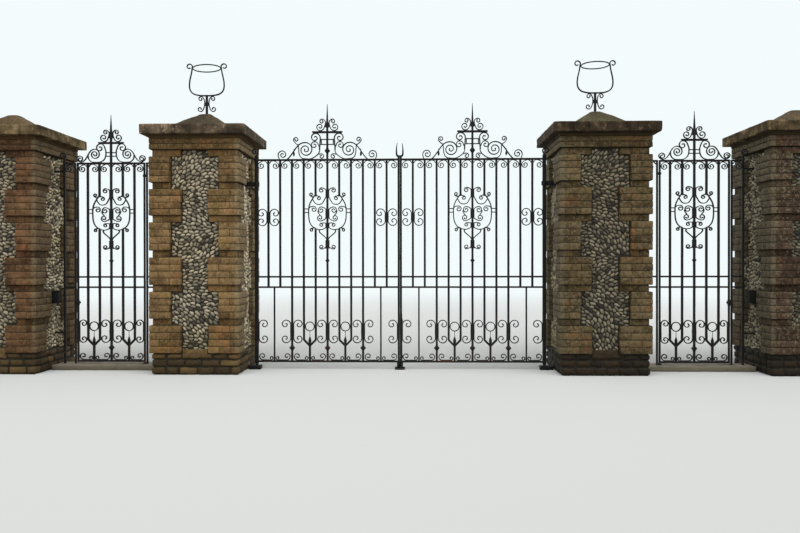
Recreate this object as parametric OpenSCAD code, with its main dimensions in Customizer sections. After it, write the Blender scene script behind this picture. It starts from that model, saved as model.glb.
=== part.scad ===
// Wrought iron driveway gate between four square piers of brick and flint:
// a pair of main leaves, a side gate each side, and a lantern cradle on each inner pier.
// Millimetres. Z is up, the gates lie in the XZ plane, and the leaves open towards -Y.
// Drawings of ironwork are made flat as (x, height) and then stood up by upright().

/* [Openings] */
// Clear width between the two inner piers
main_opening = 3482; // [3300:2:3700]
// Clear width between an inner pier and the outer pier beside it
side_opening = 1253; // [1180:1:1350]

/* [Piers] */
// Width of a pier over its quoins, the same on all four sides
pier_w = 1001; // [900:1:1100]
// Height of the rough footing
footing_h = 240; // [180:5:300]
// How far the footing stands back from the quoins
footing_back = 14; // [0:1:30]
// Height of one quoin block
quoin_h = 298; // [260:1:320]
// Height of the recessed course over each quoin block
recess_h = 74.5; // [60:0.5:90]
// Number of quoin blocks in the height
quoin_rows = 6; // [5:1:7]
// Depth of the recessed courses
recess_depth = 37; // [20:1:45]
// Depth of the flint faces behind the quoins
flint_depth = 45; // [38:1:60]
// Short side of a quoin, seen on a face
quoin_short = 238; // [200:1:270]
// Long side of a quoin, seen on a face
quoin_long = 354; // [320:1:390]
// Height of the necking under the cap
necking_h = 125; // [90:1:160]

/* [Pier caps] */
// Height of the splayed bed of the cap
splay_h = 50; // [30:1:70]
// How far the cap overhangs the quoins
cap_overhang = 81; // [60:1:100]
// Height of the square edge of the cap
slab_h = 97; // [80:1:120]
// Rise of the shallow weathered top
weathering_h = 50; // [30:1:70]
// Width of the mound that stands on the weathered top
mound_w = 570; // [480:5:640]
// Height of the mound
mound_h = 160; // [120:1:200]
// Width of the flat on top of the mound
mound_top_w = 96; // [80:1:140]

/* [Leaves] */
// Distance from the inner pier's face to a main leaf's hinge axis
hinge_offset = 79; // [70:1:90]
// Half the gap between the two meeting stiles
meeting_half_gap = 3; // [3:0.5:6]
// Height of the bottom rail's centre line
bottom_rail_z = 90; // [80:1:110]
// Height of the lower middle rail's centre line
lower_mid_z = 950; // [880:1:980]
// Height of the upper middle rail's centre line
upper_mid_z = 1070; // [1040:1:1120]
// Height of the top rail's centre line
top_rail_z = 2424; // [2380:1:2460]
// Height of a rail
rail_h = 16; // [12:1:20]
// Depth of a rail, front to back
rail_depth = 36; // [30:1:44]
// Underside of the main leaves' stiles
stile_foot_z = 62; // [56:1:70]

/* [Uprights] */
// Width and depth of an upright bar
bar_w = 18; // [14:0.5:22]
// Width of the slim bars in the lower panel
slim_w = 14; // [10:0.5:16]
// Width of a hinge stile
heel_w = 40; // [34:1:44]
// Width of a meeting stile
meeting_w = 22; // [18:1:26]
// Height of the tip of a main leaf's centre bar
main_tip_z = 3068; // [3000:1:3120]
// Length of a forged point
point_l = 210; // [150:5:240]

/* [Hinges] */
// Height of the middle of a main leaf's top hinge
top_hinge_z = 2143; // [2050:1:2250]
// Height of the round journal in a hinge stile
journal_h = 64; // [56:1:90]
// Diameter of the journal in a hinge stile
journal_d = 38; // [30:1:38]
// Diameter of the heel pin under a hinge stile
heel_pin_d = 30; // [24:1:34]
// Height of the top collar
collar_h = 50; // [40:1:54]
// Outer diameter of the top collar
collar_d = 66; // [56:1:74]
// Free space all round in a hinge
hinge_clear = 0.3; // [0.2:0.05:0.6]
// Height of the iron shoe that takes the heel pin
shoe_h = 46; // [40:1:52]
// Width of the iron shoe
shoe_w = 104; // [90:1:120]

/* [Scrolls] */
// Thickness of a scroll's strip, seen from the front
strip_w = 9; // [7:0.5:11]
// Thickness of the plates of a collar that binds scrolls to a bar
collar_plate = 4; // [3:0.5:6]
// Space between a forged scroll and the bar it is fixed to
seat = 0.02; // [0.01:0.01:0.1]
// Mean degrees of turn for each facet of a small scroll
curl_step = 37; // [20:1:40]
// Mean degrees of turn for each facet of a wide scroll
wide_step = 27; // [15:1:30]
// Height of the middle of the lyre ornament
lyre_z = 1834; // [1780:1:1880]
// Height of the lyre ornament, from the straps' foot to the curls at its head
lyre_h = 600; // [560:1:640]
// Height of the C scrolls beside the second bar, from and to
side_c_z = [1658, 1859];
// Height of the C scrolls in the lower panel, from and to
low_c_z = [300, 572];
// Height at which pairs of bars join to one stem
fork_z = 270; // [250:1:290]
// Height of the knops on the lower panel's thick bars
knop_z = 246; // [240:1:252]
// Radius of the knops on the lower panel's thick bars
knop_r = 30; // [26:1:34]
// Height of the small knop on a centre bar
small_knop_z = 1258; // [1220:1:1300]
// Radius of the small knop on a centre bar
small_knop_r = 22; // [18:1:26]
// Radius of the large curls of the low scrolls
low_scroll_r = 43; // [38:1:46]
// Radius of the small curls of the low scrolls
low_curl_r = 23; // [20:1:26]
// Height of a main leaf's cross bar over its top rail
crest_h = 322; // [300:1:340]
// Height of a side leaf's cross bar over its top rail
side_crest_h = 240; // [224:1:256]
// Radius of the hanging scrolls under the top rail
hang_r = 40; // [34:0.5:44]
// Drop of the hanging scrolls under the top rail
hang_drop = 100; // [92:1:110]

/* [Side gates] */
// Distance from a pier's face to the wall post of a side gate
post_offset = 77; // [70:1:90]
// Width of the posts and stiles of a side gate
post_w = 20; // [16:1:24]
// Distance of a side leaf's hinge axis from the third bay line
side_axis_in = 20; // [19:1:24]
// Gap between a side leaf's stiles and the fixed posts
side_gap = 10; // [10:1:14]
// Height of the stone sill under a side gate
sill_h = 60; // [50:1:68]
// Depth of the stone sill, front to back
sill_depth = 300; // [240:5:360]
// Height of the centre line of a side gate's top rail
side_rail_z = 2394; // [2360:1:2424]
// Height of the tip of a side leaf's centre bar
side_tip_z = 2960; // [2900:1:3020]
// Height of the side leaf's top pivot
side_hinge_z = 2250; // [2150:1:2300]
// Height of the latch knob on a side leaf
latch_z = 771; // [700:1:820]

/* [Drop bolt and stop] */
// Width and depth of the drop bolt
bolt_w = 18; // [14:1:20]
// Height of the top of the drop bolt
bolt_top_z = 640; // [560:5:720]
// Space between the drop bolt and the stop plate under it
bolt_clear = 6; // [5:0.5:10]
// Thickness of the stop plate on the ground
stop_plate_h = 12; // [10:1:16]
// Width of the stop plate
stop_w = 117; // [100:1:140]

/* [Lantern cradles] */
// Height of a cradle's stem
stem_h = 218; // [190:1:250]
// Width of a cradle over its arms
cradle_w = 423; // [380:1:460]
// Height of a cradle's arms over the stem
cradle_h = 410; // [360:1:450]
// Diameter of the hoop, on its centre line
hoop_d = 315; // [280:1:340]
// Height of the hoop over the stem
hoop_z = 318; // [280:1:340]
// Thickness of the cradle's arms
arm_t = 15; // [12:0.5:18]
// Thickness of the hoop's round bar
hoop_t = 13; // [10:0.5:15]
// Tilt of the hoop, in degrees
hoop_tilt = 2; // [0:0.5:4]

/* [Wall boxes] */
// Width of the box on an outer pier, along the pier's face
box_w = 100; // [80:1:130]
// Height of the box
box_h = 150; // [120:1:180]
// How far the box stands out of the flint face
box_t = 105; // [80:1:125]
// Height of the middle of the box
box_z = 840; // [780:1:900]
// Space between the box and the quoins beside it
box_edge = 4.5; // [2:0.5:10]

/* [Hidden] */

iron = [0.10, 0.10, 0.11];
ochre_brick = [0.60, 0.45, 0.27];
flint = [0.62, 0.60, 0.55];
cap_stone = [0.47, 0.42, 0.35];
pale_stone = [0.70, 0.67, 0.60];

// Bays between uprights in one main leaf
main_bays = 12;

// Where the piers and the leaves stand
inner_x = main_opening / 2 + pier_w / 2;
outer_x = inner_x + pier_w + side_opening;
side_x = inner_x + pier_w / 2 + side_opening / 2;
axis_x = main_opening / 2 - hinge_offset;
main_bay = (axis_x - meeting_half_gap - meeting_w / 2) / main_bays;
leaf_half = main_bay * main_bays / 2;
leaf_x = axis_x - leaf_half;
side_bay = (side_opening / 2 - post_offset) / 4;
side_stile_x = 3 * side_bay - side_axis_in;
jamb_post_x = side_stile_x + post_w + side_gap;
wall_post_x = 4 * side_bay;

// Heights of the masonry
quoin_top = footing_h + quoin_rows * (quoin_h + recess_h);
cap_z = quoin_top + necking_h;
slab_z = cap_z + splay_h;
weather_z = slab_z + slab_h;
mound_z = weather_z + weathering_h;
cap_top_z = mound_z + mound_h;
cap_w = pier_w + 2 * cap_overhang;
slab_edge = 4;

// Sizes of the ironwork that follow from the others
iron_depth = bar_w;
rail_top = top_rail_z + rail_h / 2;
eye_r = strip_w * 0.75;
inner_r = strip_w + 1;
wide_r = 58;
facet_growth = 1.3;
sweep_facet = 42;
stile_top_z = rail_top + 40;
side_foot_z = sill_h + 18;
collar_out = strip_w + 3;
side_rail_top = side_rail_z + rail_h / 2;
rail_heights = [bottom_rail_z, lower_mid_z, upper_mid_z, top_rail_z];
side_rail_heights = [bottom_rail_z, lower_mid_z, upper_mid_z, side_rail_z];
// Heights at which the ornaments are drawn, and what a millimetre there comes to
lyre_unit = lyre_h / 600;
crest_unit = crest_h / 322;
side_crest_unit = side_crest_h / 240;
lyre_top_z = lyre_z + 166 * lyre_unit;
lyre_foot_z = lyre_z - 210 * lyre_unit;
main_cross_z = top_rail_z + crest_h;
side_cross_z = side_rail_z + side_crest_h;
collar_below_point = 6;
bite = 2.5;
bend_z = fork_z + 69;
arch_z = bend_z + 155;

// Hinges: the anchor plate lies on the flint, and the shoe runs back to the footing
anchor_t = 12;
anchor_w = 120;
anchor_h = 110;
anchor_arm_w = 30;
heel_pin_depth = 34;
side_journal_h = 40;
side_journal_d = post_w - 1;
side_pin_d = 14;
side_cup_h = 14;
side_cup_floor = 2;
cup_w = 36;
lug_heights = [420, 2300];

// The drop bolt, and the staples on the leaf that guide it
bolt_in = 6;
bolt_x = meeting_half_gap + meeting_w / 2 + bolt_in;
bolt_y = -(rail_depth / 2 + bolt_w / 2 + 3);
guide_heights = [150, 560];
guide_h = 30;
guide_t = 5;
guide_gap = 1;
shoulder_h = 16;

// Curves as lists of points

function polar(r, a) = [r * cos(a), r * sin(a)];

function heading(a0, sweep) = a0 + (sweep > 0 ? 90 : -90);

// A spiral about an eye, with shorter facets at its wide end
function curl(eye, r0, r1, a0, sweep) =
    let (n = max(3, ceil(abs(sweep) / (r0 > wide_r ? wide_step : curl_step))))
    [for (i = [0:n])
        let (t = pow(i / n, facet_growth))
        eye + polar(r0 + (r1 - r0) * t, a0 + sweep * t)];

function bezier(a, b, c, d, n) =
    [for (i = [0:n]) let (t = i / n, u = 1 - t)
        u * u * u * a + 3 * u * u * t * b + 3 * u * t * t * c + t * t * t * d];

// A curve that leaves p in direction a and reaches q in direction b
function sweep_to(p, a, q, b, pull = 0.4) =
    let (d = norm(q - p), n = max(2, min(6, ceil(d / sweep_facet))))
    bezier(p, p + polar(d * pull, a), q - polar(d * pull, b), q, n);

function tail(list) = [for (i = [1:len(list) - 1]) list[i]];

function reverse(list) = [for (i = [len(list) - 1:-1:0]) list[i]];

function flip(list) = [for (p = list) [-p[0], p[1]]];

function shift(list, by) = [for (p = list) p + by];

// One scroll: it leaves point p in direction a, and winds round the eye
function scroll(p, a, eye, r0, a0, sweep, r1 = inner_r, pull = 0.4) =
    let (c = curl(eye, r0, r1, a0, sweep))
    concat(sweep_to(p, a, c[0], heading(a0, sweep), pull), tail(c));

// A double scroll: it winds out of one eye and into another
function double_scroll(eye_a, ra, a, sweep_a, eye_b, rb, b, sweep_b, pull = 0.4) =
    let (first = curl(eye_a, ra, inner_r, a, sweep_a), last = curl(eye_b, rb, inner_r, b, sweep_b))
    concat(
        reverse(first),
        tail(sweep_to(first[0], heading(a, sweep_a) + 180, last[0], heading(b, sweep_b), pull)),
        tail(last));

// The outline of a strip along points, with its width at both ends
function direction(p, i) =
    let (v = p[min(i + 1, len(p) - 1)] - p[max(i - 1, 0)]) v / norm(v);

function side_points(p, w0, w1, s) =
    [for (i = [0:len(p) - 1])
        let (d = direction(p, i), w = w0 + (w1 - w0) * i / (len(p) - 1))
        p[i] + s * w / 2 * [-d[1], d[0]]];

module strip(p, w0 = strip_w, w1 = strip_w) {
    polygon(concat(side_points(p, w0, w1, 1), reverse(side_points(p, w0, w1, -1))));
}

module eye_at(p) {
    translate(p) circle(r = eye_r, $fn = 6);
}

module scroll_strip(p, w0 = strip_w, w1 = strip_w) {
    strip(p, w0, w1);
    eye_at(p[len(p) - 1]);
}

module double_strip(p) {
    strip(p);
    eye_at(p[0]);
    eye_at(p[len(p) - 1]);
}

module both_sides() {
    children();
    mirror([1, 0]) children();
}

module bar(x, z0, z1, w = bar_w) {
    translate([x - w / 2, z0]) square([w, z1 - z0]);
}

module rail(x0, x1, z, h = rail_h) {
    translate([x0, z - h / 2]) square([x1 - x0, h]);
}

module bud(x, z0, z1, w) {
    n = 8;
    polygon([for (s = [1, -1], i = [0:n - 1])
        let (t = s > 0 ? i / n : 1 - i / n)
        [x + s * w / 2 * sin(180 * pow(t, 0.7)), z0 + (z1 - z0) * t]]);
}

module upright(depth = iron_depth) {
    rotate([90, 0, 0]) linear_extrude(depth, center = true) children();
}

// Scrollwork: child 0 is the strips, child 1 the collars that bind them, and
// child 2 the bars and rails, which keep their place.
module scrollwork() {
    upright() offset(delta = -seat) difference() {
        union() {
            children(0);
            children(1);
        }
        children(2);
    }
    for (s = [-1, 1]) {
        translate([0, s * (iron_depth + collar_plate) / 2, 0]) upright(collar_plate) children(1);
    }
}

module knop(z, r) {
    translate([0, 0, z]) rotate_extrude($fn = 8)
        polygon([[0, -r * 0.8], [r * 0.45, -r * 0.8], [r * 0.55, -r * 0.55], [r, -r * 0.15],
            [r, r * 0.15], [r * 0.55, r * 0.55], [r * 0.45, r * 0.8], [0, r * 0.8]]);
}

module point(z, w, l) {
    translate([0, 0, z]) linear_extrude(l, scale = 0.2) square(w, center = true);
}

// Piers

// The four corner blocks of one course, wx long along X and wy long along Y
module corner_blocks(half, wx, wy) {
    for (sx = [-1, 1], sy = [-1, 1]) {
        scale([sx, sy]) translate([pier_w / 2 - wx, pier_w / 2 - wy])
            square([half - pier_w / 2 + wx, half - pier_w / 2 + wy]);
    }
}

function block_x(row) = row % 2 == 0 ? quoin_long : quoin_short;
function block_y(row) = row % 2 == 0 ? quoin_short : quoin_long;
function row_z(row) = footing_h + row * (quoin_h + recess_h);

// The flint panels of one course, up to the corner blocks
module flint_course(h, row) {
    core_w = pier_w - 2 * flint_depth;
    linear_extrude(h) union() {
        square([core_w, pier_w - 2 * block_y(row)], center = true);
        square([pier_w - 2 * block_x(row), core_w], center = true);
    }
}

// A recessed course is bonded with the block that stands on it
module pier_core(x) {
    color(flint) translate([x, 0, 0]) {
        linear_extrude(footing_h) square(pier_w - 2 * footing_back, center = true);
        for (row = [0:quoin_rows - 1]) translate([0, 0, row_z(row)]) {
            flint_course(quoin_h, row);
            translate([0, 0, quoin_h]) flint_course(recess_h, row + 1);
        }
    }
}

module pier_quoins(x) {
    color(ochre_brick) translate([x, 0, 0]) {
        for (row = [0:quoin_rows - 1]) {
            translate([0, 0, row_z(row)]) {
                linear_extrude(quoin_h) corner_blocks(pier_w / 2, block_x(row), block_y(row));
                translate([0, 0, quoin_h]) linear_extrude(recess_h)
                    corner_blocks(pier_w / 2 - recess_depth, block_x(row + 1), block_y(row + 1));
            }
        }
        translate([0, 0, quoin_top]) linear_extrude(necking_h) square(pier_w, center = true);
    }
}

// A square block that narrows from w0 below to w1 above
module square_taper(z, h, w0, w1) {
    translate([0, 0, z]) linear_extrude(h, scale = w1 / w0) square(w0, center = true);
}

module pier_cap(x) {
    color(cap_stone) translate([x, 0, 0]) {
        square_taper(cap_z, splay_h, pier_w + 2 * slab_edge, cap_w - 2 * slab_edge);
        translate([-cap_w / 2, -cap_w / 2, slab_z]) cube([cap_w, cap_w, slab_h]);
        square_taper(weather_z, weathering_h, cap_w - 2 * slab_edge, mound_w);
        square_taper(mound_z, mound_h * 0.55, mound_w, mound_w * 0.62);
        square_taper(mound_z + mound_h * 0.55, mound_h * 0.45, mound_w * 0.62, mound_top_w);
    }
}

// A stone sill under a side gate, from footing to footing
module sill(x) {
    w = side_opening + 2 * footing_back - 2 * seat;
    color(pale_stone) translate([x - w / 2, -sill_depth / 2, 0]) cube([w, sill_depth, sill_h]);
}

module wall_box(side) {
    face_x = outer_x - pier_w / 2 + flint_depth - seat;
    near_y = -pier_w / 2 + quoin_long + box_edge;
    color(iron) scale([side, 1, 1])
        translate([face_x - box_t, near_y, box_z - box_h / 2])
            cube([box_t, box_w, box_h]);
}

// Lantern cradles

module cradle_drawing() {
    half = cradle_w / 2 - arm_t / 2;
    z = stem_h;
    bar(0, 0, z + arm_t / 2, 24);
    arm = concat(
        bezier([0, z], [half * 0.55, z], [half * 0.95, z + 5], [half, z + 95], 6),
        tail(sweep_to([half, z + 95], 88, [half - 14, z + cradle_h - 62], 94)),
        tail(curl([half + 16, z + cradle_h - 62], 30, 9, 180, -250)));
    both_sides() {
        strip(arm, arm_t, arm_t * 0.7);
        scroll_strip(scroll([8, 96], -80, [46, 46], 38, 250, 400));
        scroll_strip(scroll([8, 120], 80, [34, 168], 22, 110, -380));
    }
    bar(0, 92, 126, 42);
}

module lantern_cradle(side) {
    color(iron) translate([side * inner_x, 0, cap_top_z]) {
        upright(arm_t) offset(delta = -seat) cradle_drawing();
        translate([0, 0, stem_h + hoop_z]) rotate([0, side * hoop_tilt, 0]) {
            rotate_extrude($fn = 48) translate([hoop_d / 2, 0]) circle(d = hoop_t, $fn = 16);
            for (s = [-1, 1]) {
                stub = cradle_w / 2 - arm_t - hoop_d / 2 + 6;
                translate([s * (hoop_d / 2 + stub / 2), 0, 0]) cube([stub, 8, 8], center = true);
            }
        }
    }
}

// Hinges, stop and bolt

module at_main_axis(side) {
    translate([side * axis_x, 0, 0]) scale([side, 1, 1]) children();
}

module hinge_irons(side) {
    to_flint = hinge_offset + flint_depth - seat;
    to_footing = hinge_offset + footing_back - seat;
    color(iron) at_main_axis(side) {
        translate([0, 0, top_hinge_z]) difference() {
            union() {
                cylinder(d = collar_d, h = collar_h, center = true, $fn = 48);
                translate([0, -anchor_arm_w / 2, -collar_h / 2])
                    cube([to_flint, anchor_arm_w, collar_h]);
                translate([to_flint - anchor_t, -anchor_w / 2, -anchor_h / 2])
                    cube([anchor_t, anchor_w, anchor_h]);
            }
            cylinder(d = journal_d + 2 * hinge_clear, h = collar_h + 2, center = true, $fn = 48);
        }
        difference() {
            translate([-shoe_w / 2, -shoe_w / 2, 0]) cube([shoe_w / 2 + to_footing, shoe_w, shoe_h]);
            translate([0, 0, shoe_h - heel_pin_depth]) cylinder(d = heel_pin_d + 2 * hinge_clear,
                h = heel_pin_depth + 1, $fn = 48);
        }
    }
}

module gate_stop() {
    lip_t = 14;
    lip_y = rail_depth / 2 + 6;
    color(iron) {
        translate([-stop_w / 2, -50, 0]) cube([stop_w, 50 + lip_y + lip_t, stop_plate_h]);
        translate([-stop_w / 2, lip_y, 0]) cube([stop_w, lip_t, bottom_rail_z]);
    }
}

module drop_bolt() {
    foot_z = stop_plate_h + bolt_clear;
    color(iron) translate([bolt_x, bolt_y, 0]) {
        translate([-bolt_w / 2, -bolt_w / 2, foot_z]) cube([bolt_w, bolt_w, bolt_top_z - foot_z]);
        // Shoulder that rests on the upper guide
        translate([-bolt_w / 2 - 2, -bolt_w / 2 - guide_t - guide_gap,
            guide_heights[1] + guide_h / 2 + hinge_clear])
            cube([bolt_w + 4, bolt_w + guide_t + guide_gap, shoulder_h]);
        translate([0, -bolt_w / 2, bolt_top_z - 40]) rotate([90, 0, 0]) cylinder(d = 16, h = 34, $fn = 8);
    }
}

// The staples that guide the drop bolt, on the leaf's front
module bolt_guides() {
    inner = bolt_w + 2 * guide_gap;
    for (z = guide_heights) {
        translate([leaf_half - bolt_in, 0, z - guide_h / 2]) difference() {
            translate([-inner / 2 - guide_t, bolt_y - inner / 2 - guide_t, 0])
                cube([inner + 2 * guide_t, -bolt_y + inner / 2 + guide_t - iron_depth / 2, guide_h]);
            translate([-inner / 2, bolt_y - inner / 2, -1]) cube([inner, inner, guide_h + 2]);
        }
    }
}

// Main leaves, drawn about the centre bar with the hinge stile on the left

function bar_x(i) = (i - main_bays / 2) * main_bay;

module in_main_leaf(side) {
    translate([side * leaf_x, 0, 0]) scale([-side, 1, 1]) children();
}

// Two bars that bend together and join to one stem, about the stem
module fork(bay) {
    both_sides() strip([[bay / 2, bend_z + 40], [bay / 2, bend_z], [0, fork_z], [0, fork_z - 30]],
        bar_w, bar_w);
    bar(0, bottom_rail_z, fork_z, bar_w);
}

module main_bars() {
    for (i = [1, 2, 10, 11]) bar(bar_x(i), lower_mid_z, top_rail_z);
    for (i = [3, 9]) bar(bar_x(i), bottom_rail_z, top_rail_z);
    for (i = [4, 8]) bar(bar_x(i), bend_z, top_rail_z);
    for (i = [5, 7]) {
        bar(bar_x(i), bend_z, lyre_foot_z);
        bar(bar_x(i), lyre_top_z, top_rail_z);
    }
    bar(bar_x(6), bottom_rail_z, main_tip_z - point_l);
    for (i = [1.5, 10.5]) bar(bar_x(i), bottom_rail_z, lower_mid_z, slim_w);
    for (i = [4.5, 7.5]) translate([bar_x(i), 0]) fork(main_bay);
    bar(leaf_half, stile_foot_z, stile_top_z, meeting_w);
}

module main_rails() {
    for (z = rail_heights) rail(-leaf_half + heel_w / 2, leaf_half + meeting_w / 2 - 2, z);
}

module leaf_ironwork() {
    main_bars();
    main_rails();
    bar(-leaf_half, stile_foot_z, stile_top_z, heel_w);
}

module main_frame(side) {
    color(iron) in_main_leaf(side) {
        upright() offset(delta = 0) main_bars();
        upright(rail_depth) offset(delta = -seat) main_rails();
        for (i = [3, 6, 9]) translate([bar_x(i), 0, 0]) knop(knop_z, knop_r);
        knop(small_knop_z, small_knop_r);
        knop(top_rail_z + 104 * crest_unit, knop_r);
        point(main_tip_z - point_l, bar_w, point_l);
        if (side > 0) bolt_guides();
    }
}

module heel_stile(side) {
    w = heel_w;
    journal_z = top_hinge_z - journal_h / 2;
    color(iron) in_main_leaf(side) translate([-leaf_half, 0, 0]) {
        translate([-w / 2, -w / 2, stile_foot_z]) cube([w, w, journal_z - stile_foot_z]);
        translate([0, 0, journal_z]) cylinder(d = journal_d, h = journal_h, $fn = 48);
        translate([-w / 2, -w / 2, journal_z + journal_h])
            cube([w, w, stile_top_z - journal_z - journal_h]);
        translate([0, 0, shoe_h - heel_pin_depth + hinge_clear])
            cylinder(d = heel_pin_d, h = stile_foot_z - shoe_h + heel_pin_depth, $fn = 48);
        upright() offset(delta = -seat)
            scroll_strip(scroll([2, stile_top_z - 4], 90, [-20, stile_top_z + 46], 38, 10, 420), 16, strip_w);
    }
}

// A hanging scroll in a bay: its leaf starts at the far bar, and it curls by the near one
module hanging_scroll(bay, flipped, rail_z = top_rail_z) {
    z = rail_z - rail_h / 2;
    x = bay / 2 - bar_w / 2;
    eye = [-x + hang_r + strip_w / 2 - bite, z - hang_drop + hang_r + strip_w / 2];
    p = scroll([x - bite, z - 30], 110, eye, hang_r, 130, 450, inner_r, 0.5);
    mirror([flipped ? 1 : 0, 0]) scroll_strip(p, strip_w * 0.8, strip_w);
}

// A C scroll with its back at x = 0, between two heights, opening to the right
module c_scroll(z0, z1, depth) {
    r = min(depth / 2, (z1 - z0) / 4 + 6);
    top = [strip_w / 2 + r, z1 - strip_w / 2 - r];
    low = [strip_w / 2 + r, z0 + strip_w / 2 + r];
    double_strip(double_scroll(top, r, 180, -410, low, r, 180, 410));
}

// Bays whose hanging scroll curls by the bar on their right
right_hand_bays = [2, 7, 8, 9, 10, 12];

module bay_scrolls(side) {
    c_depth = main_bay - bar_w - 4;
    color(iron) in_main_leaf(side) scrollwork() {
        union() {
            for (i = [1:main_bays]) {
                translate([bar_x(i - 0.5), 0])
                    hanging_scroll(main_bay, len(search(i, right_hand_bays)) > 0);
            }
            for (i = [1, 11]) translate([bar_x(i), 0]) both_sides()
                translate([bar_w / 2, 0]) c_scroll(side_c_z[0], side_c_z[1], c_depth * 0.86);
        }
        for (i = [1, 11]) {
            z = (side_c_z[0] + side_c_z[1]) / 2;
            bar(bar_x(i), z - 16, z + 16, bar_w + 2 * collar_out);
        }
        leaf_ironwork();
    }
}

// The lyre ornament round a centre bar. Widths are in bays, heights from its middle.
module lyre_strips(bay) {
    function at(x, z) = [x * bay, lyre_z + z * lyre_unit];
    r = bay * 0.2;
    both_sides() {
        // Curls at the head
        scroll_strip(scroll(at(0.06, 222), 80, at(0.50, 238), r * 1.05, 100, -400));
        // Swag from the head's collar to the end of the next bar
        strip(concat(
            sweep_to(at(0.06, 170), -50, at(0.74, 74), 0, 0.45),
            tail(sweep_to(at(0.74, 74), 0, at(1.26, 136), 58, 0.45))));
        // Curl inside the swag
        scroll_strip(scroll(at(1.02, 180), 150, at(0.74, 146), r * 0.85, 90, 360));
        // Small leaf that turns up outside
        scroll_strip(scroll(at(1.12, 164), -30, at(1.36, 190), r * 0.7, -60, 300), 14, strip_w);
        // Oval side
        strip(concat(
            sweep_to(at(1.0, 196), -60, at(1.59, 0), -90, 0.42),
            tail(sweep_to(at(1.59, 0), -90, at(0.92, -210), 200, 0.42)),
            tail(sweep_to(at(0.92, -210), 200, at(0.05, -186), 140, 0.4))), 12, strip_w);
        // Small leaf that turns down outside, and the end of the bar below
        scroll_strip(scroll(at(1.0, -200), 20, at(1.34, -222), r * 0.62, 80, -300), 13, strip_w);
        // Upper curl against the oval, and the one it meets
        scroll_strip(scroll(at(1.55, 30), 105, at(1.16, 18), r * 1.25, 80, 400));
        scroll_strip(scroll(at(0.06, -2), 70, at(0.53, 8), r * 1.35, 100, -420));
        // Lower curls
        scroll_strip(scroll(at(0.06, -76), -50, at(0.62, -82), r * 1.35, 250, 430));
        strip(sweep_to(at(0.80, 4), -80, at(0.60, -52), -130, 0.4));
        scroll_strip(scroll(at(0.06, -150), 40, at(0.50, -164), r * 0.8, 90, -330));
        // Straps to the foot, and the curls there
        strip(sweep_to(at(0.64, -222), -35, at(0.08, -346), -70, 0.35), 12, strip_w);
        scroll_strip(scroll(at(0.06, -404), -60, at(0.50, -418), r * 0.95, 250, 400));
        // Ties to the next bar but one
        for (z = [-20, 22]) translate([1.56 * bay, lyre_z + z - 4]) square([0.44 * bay, 8]);
    }
}

module lyre_collars(bay) {
    w = bar_w + 2 * collar_out;
    for (z = [[160, 238], [-80, 6], [-192, -148], [-438, -342]])
        bar(0, lyre_z + z[0] * lyre_unit, lyre_z + z[1] * lyre_unit, w - (z[0] > 0 ? 4 : 0));
}

module lyre(side) {
    color(iron) in_main_leaf(side) scrollwork() {
        lyre_strips(main_bay);
        lyre_collars(main_bay);
        leaf_ironwork();
    }
}

// Crestings. Widths are in bays from the centre bar, heights from the top rail.
function crest(bay, x, z) = [x * bay, top_rail_z + z * crest_unit];
function side_crest(bay, x, z) = [x * bay, side_rail_z + z * side_crest_unit];

module crest_head(bay, z) {
    both_sides() {
        double_strip(double_scroll([0.62 * bay, z + 60], bay * 0.36, 200, 470,
            [0.46 * bay, z + 122], bay * 0.2, 110, -330, 0.5));
    }
}

// The collar that binds the head's scrolls to the centre bar, under its forged point
module head_collar(cross_z, tip_z) {
    bar(0, cross_z + 54, tip_z - point_l - collar_below_point, bar_w + 2 * collar_out);
}

module main_crest_strips() {
    b = main_bay;
    both_sides() {
        // Outer scroll, from the rail over the fourth bar
        scroll_strip(scroll(crest(b, 4.02, 0), 80, crest(b, 3.63, 88), 0.40 * b, 10, 470));
        // Long scroll from the rail up into the volute
        scroll_strip(scroll(crest(b, 3.46, 0), 142, crest(b, 1.84, 118), 0.60 * b, 100, 640), 12, strip_w);
        // Curl that grows out of its shoulder, and the bud that hangs under it
        scroll_strip(scroll(crest(b, 2.42, 174), 10, crest(b, 2.64, 234), 0.23 * b, -40, 400));
        // Enclosing scroll, from the shoulder under the volute and up into its curl
        scroll_strip(concat(
            sweep_to(crest(b, 2.44, 160), -95, crest(b, 2.05, 8), 200, 0.4),
            tail(sweep_to(crest(b, 2.05, 8), 180, crest(b, 1.2, 20), 150, 0.4)),
            tail(sweep_to(crest(b, 1.2, 20), 150, crest(b, 0.64, 130), 85, 0.4)),
            tail(scroll(crest(b, 0.64, 130), 92, crest(b, 1.10, 170), 0.34 * b, 170, -450))));
        // Upper scroll, from the strap up to the curl under the cross bar
        scroll_strip(scroll(crest(b, 0.67, 116), 98, crest(b, 1.03, 256), 0.44 * b, 185, -480), 14, strip_w);
        // Curl at the foot of the centre bar
        scroll_strip(scroll(crest(b, 0.84, 62), 160, crest(b, 0.5, 40), 0.22 * b, 80, 360));
        // Square ties to the centre bar
        for (z = [178, 236]) translate([0, top_rail_z + z * crest_unit - 4]) square([0.56 * b, 8]);
        translate([0.5 * b - 5, top_rail_z + 176 * crest_unit]) square([8, 62 * crest_unit]);
    }
    for (s = [-1, 1]) {
        bud(s * 2.83 * b, top_rail_z + 40 * crest_unit, top_rail_z + 108 * crest_unit, 20);
        bar(s * 2.83 * b, top_rail_z + 100 * crest_unit, top_rail_z + 128 * crest_unit, 5);
    }
    crest_head(b, main_cross_z);
}

// Half a tulip finial on a meeting stile
module stile_finial() {
    z = stile_top_z;
    strip(concat(
        sweep_to([leaf_half, z - 6], 180, [leaf_half - 26, z + 40], 95, 0.5),
        tail(sweep_to([leaf_half - 26, z + 40], 95, [leaf_half - 10, z + 140], 75, 0.4))), 12, 6);
}

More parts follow.
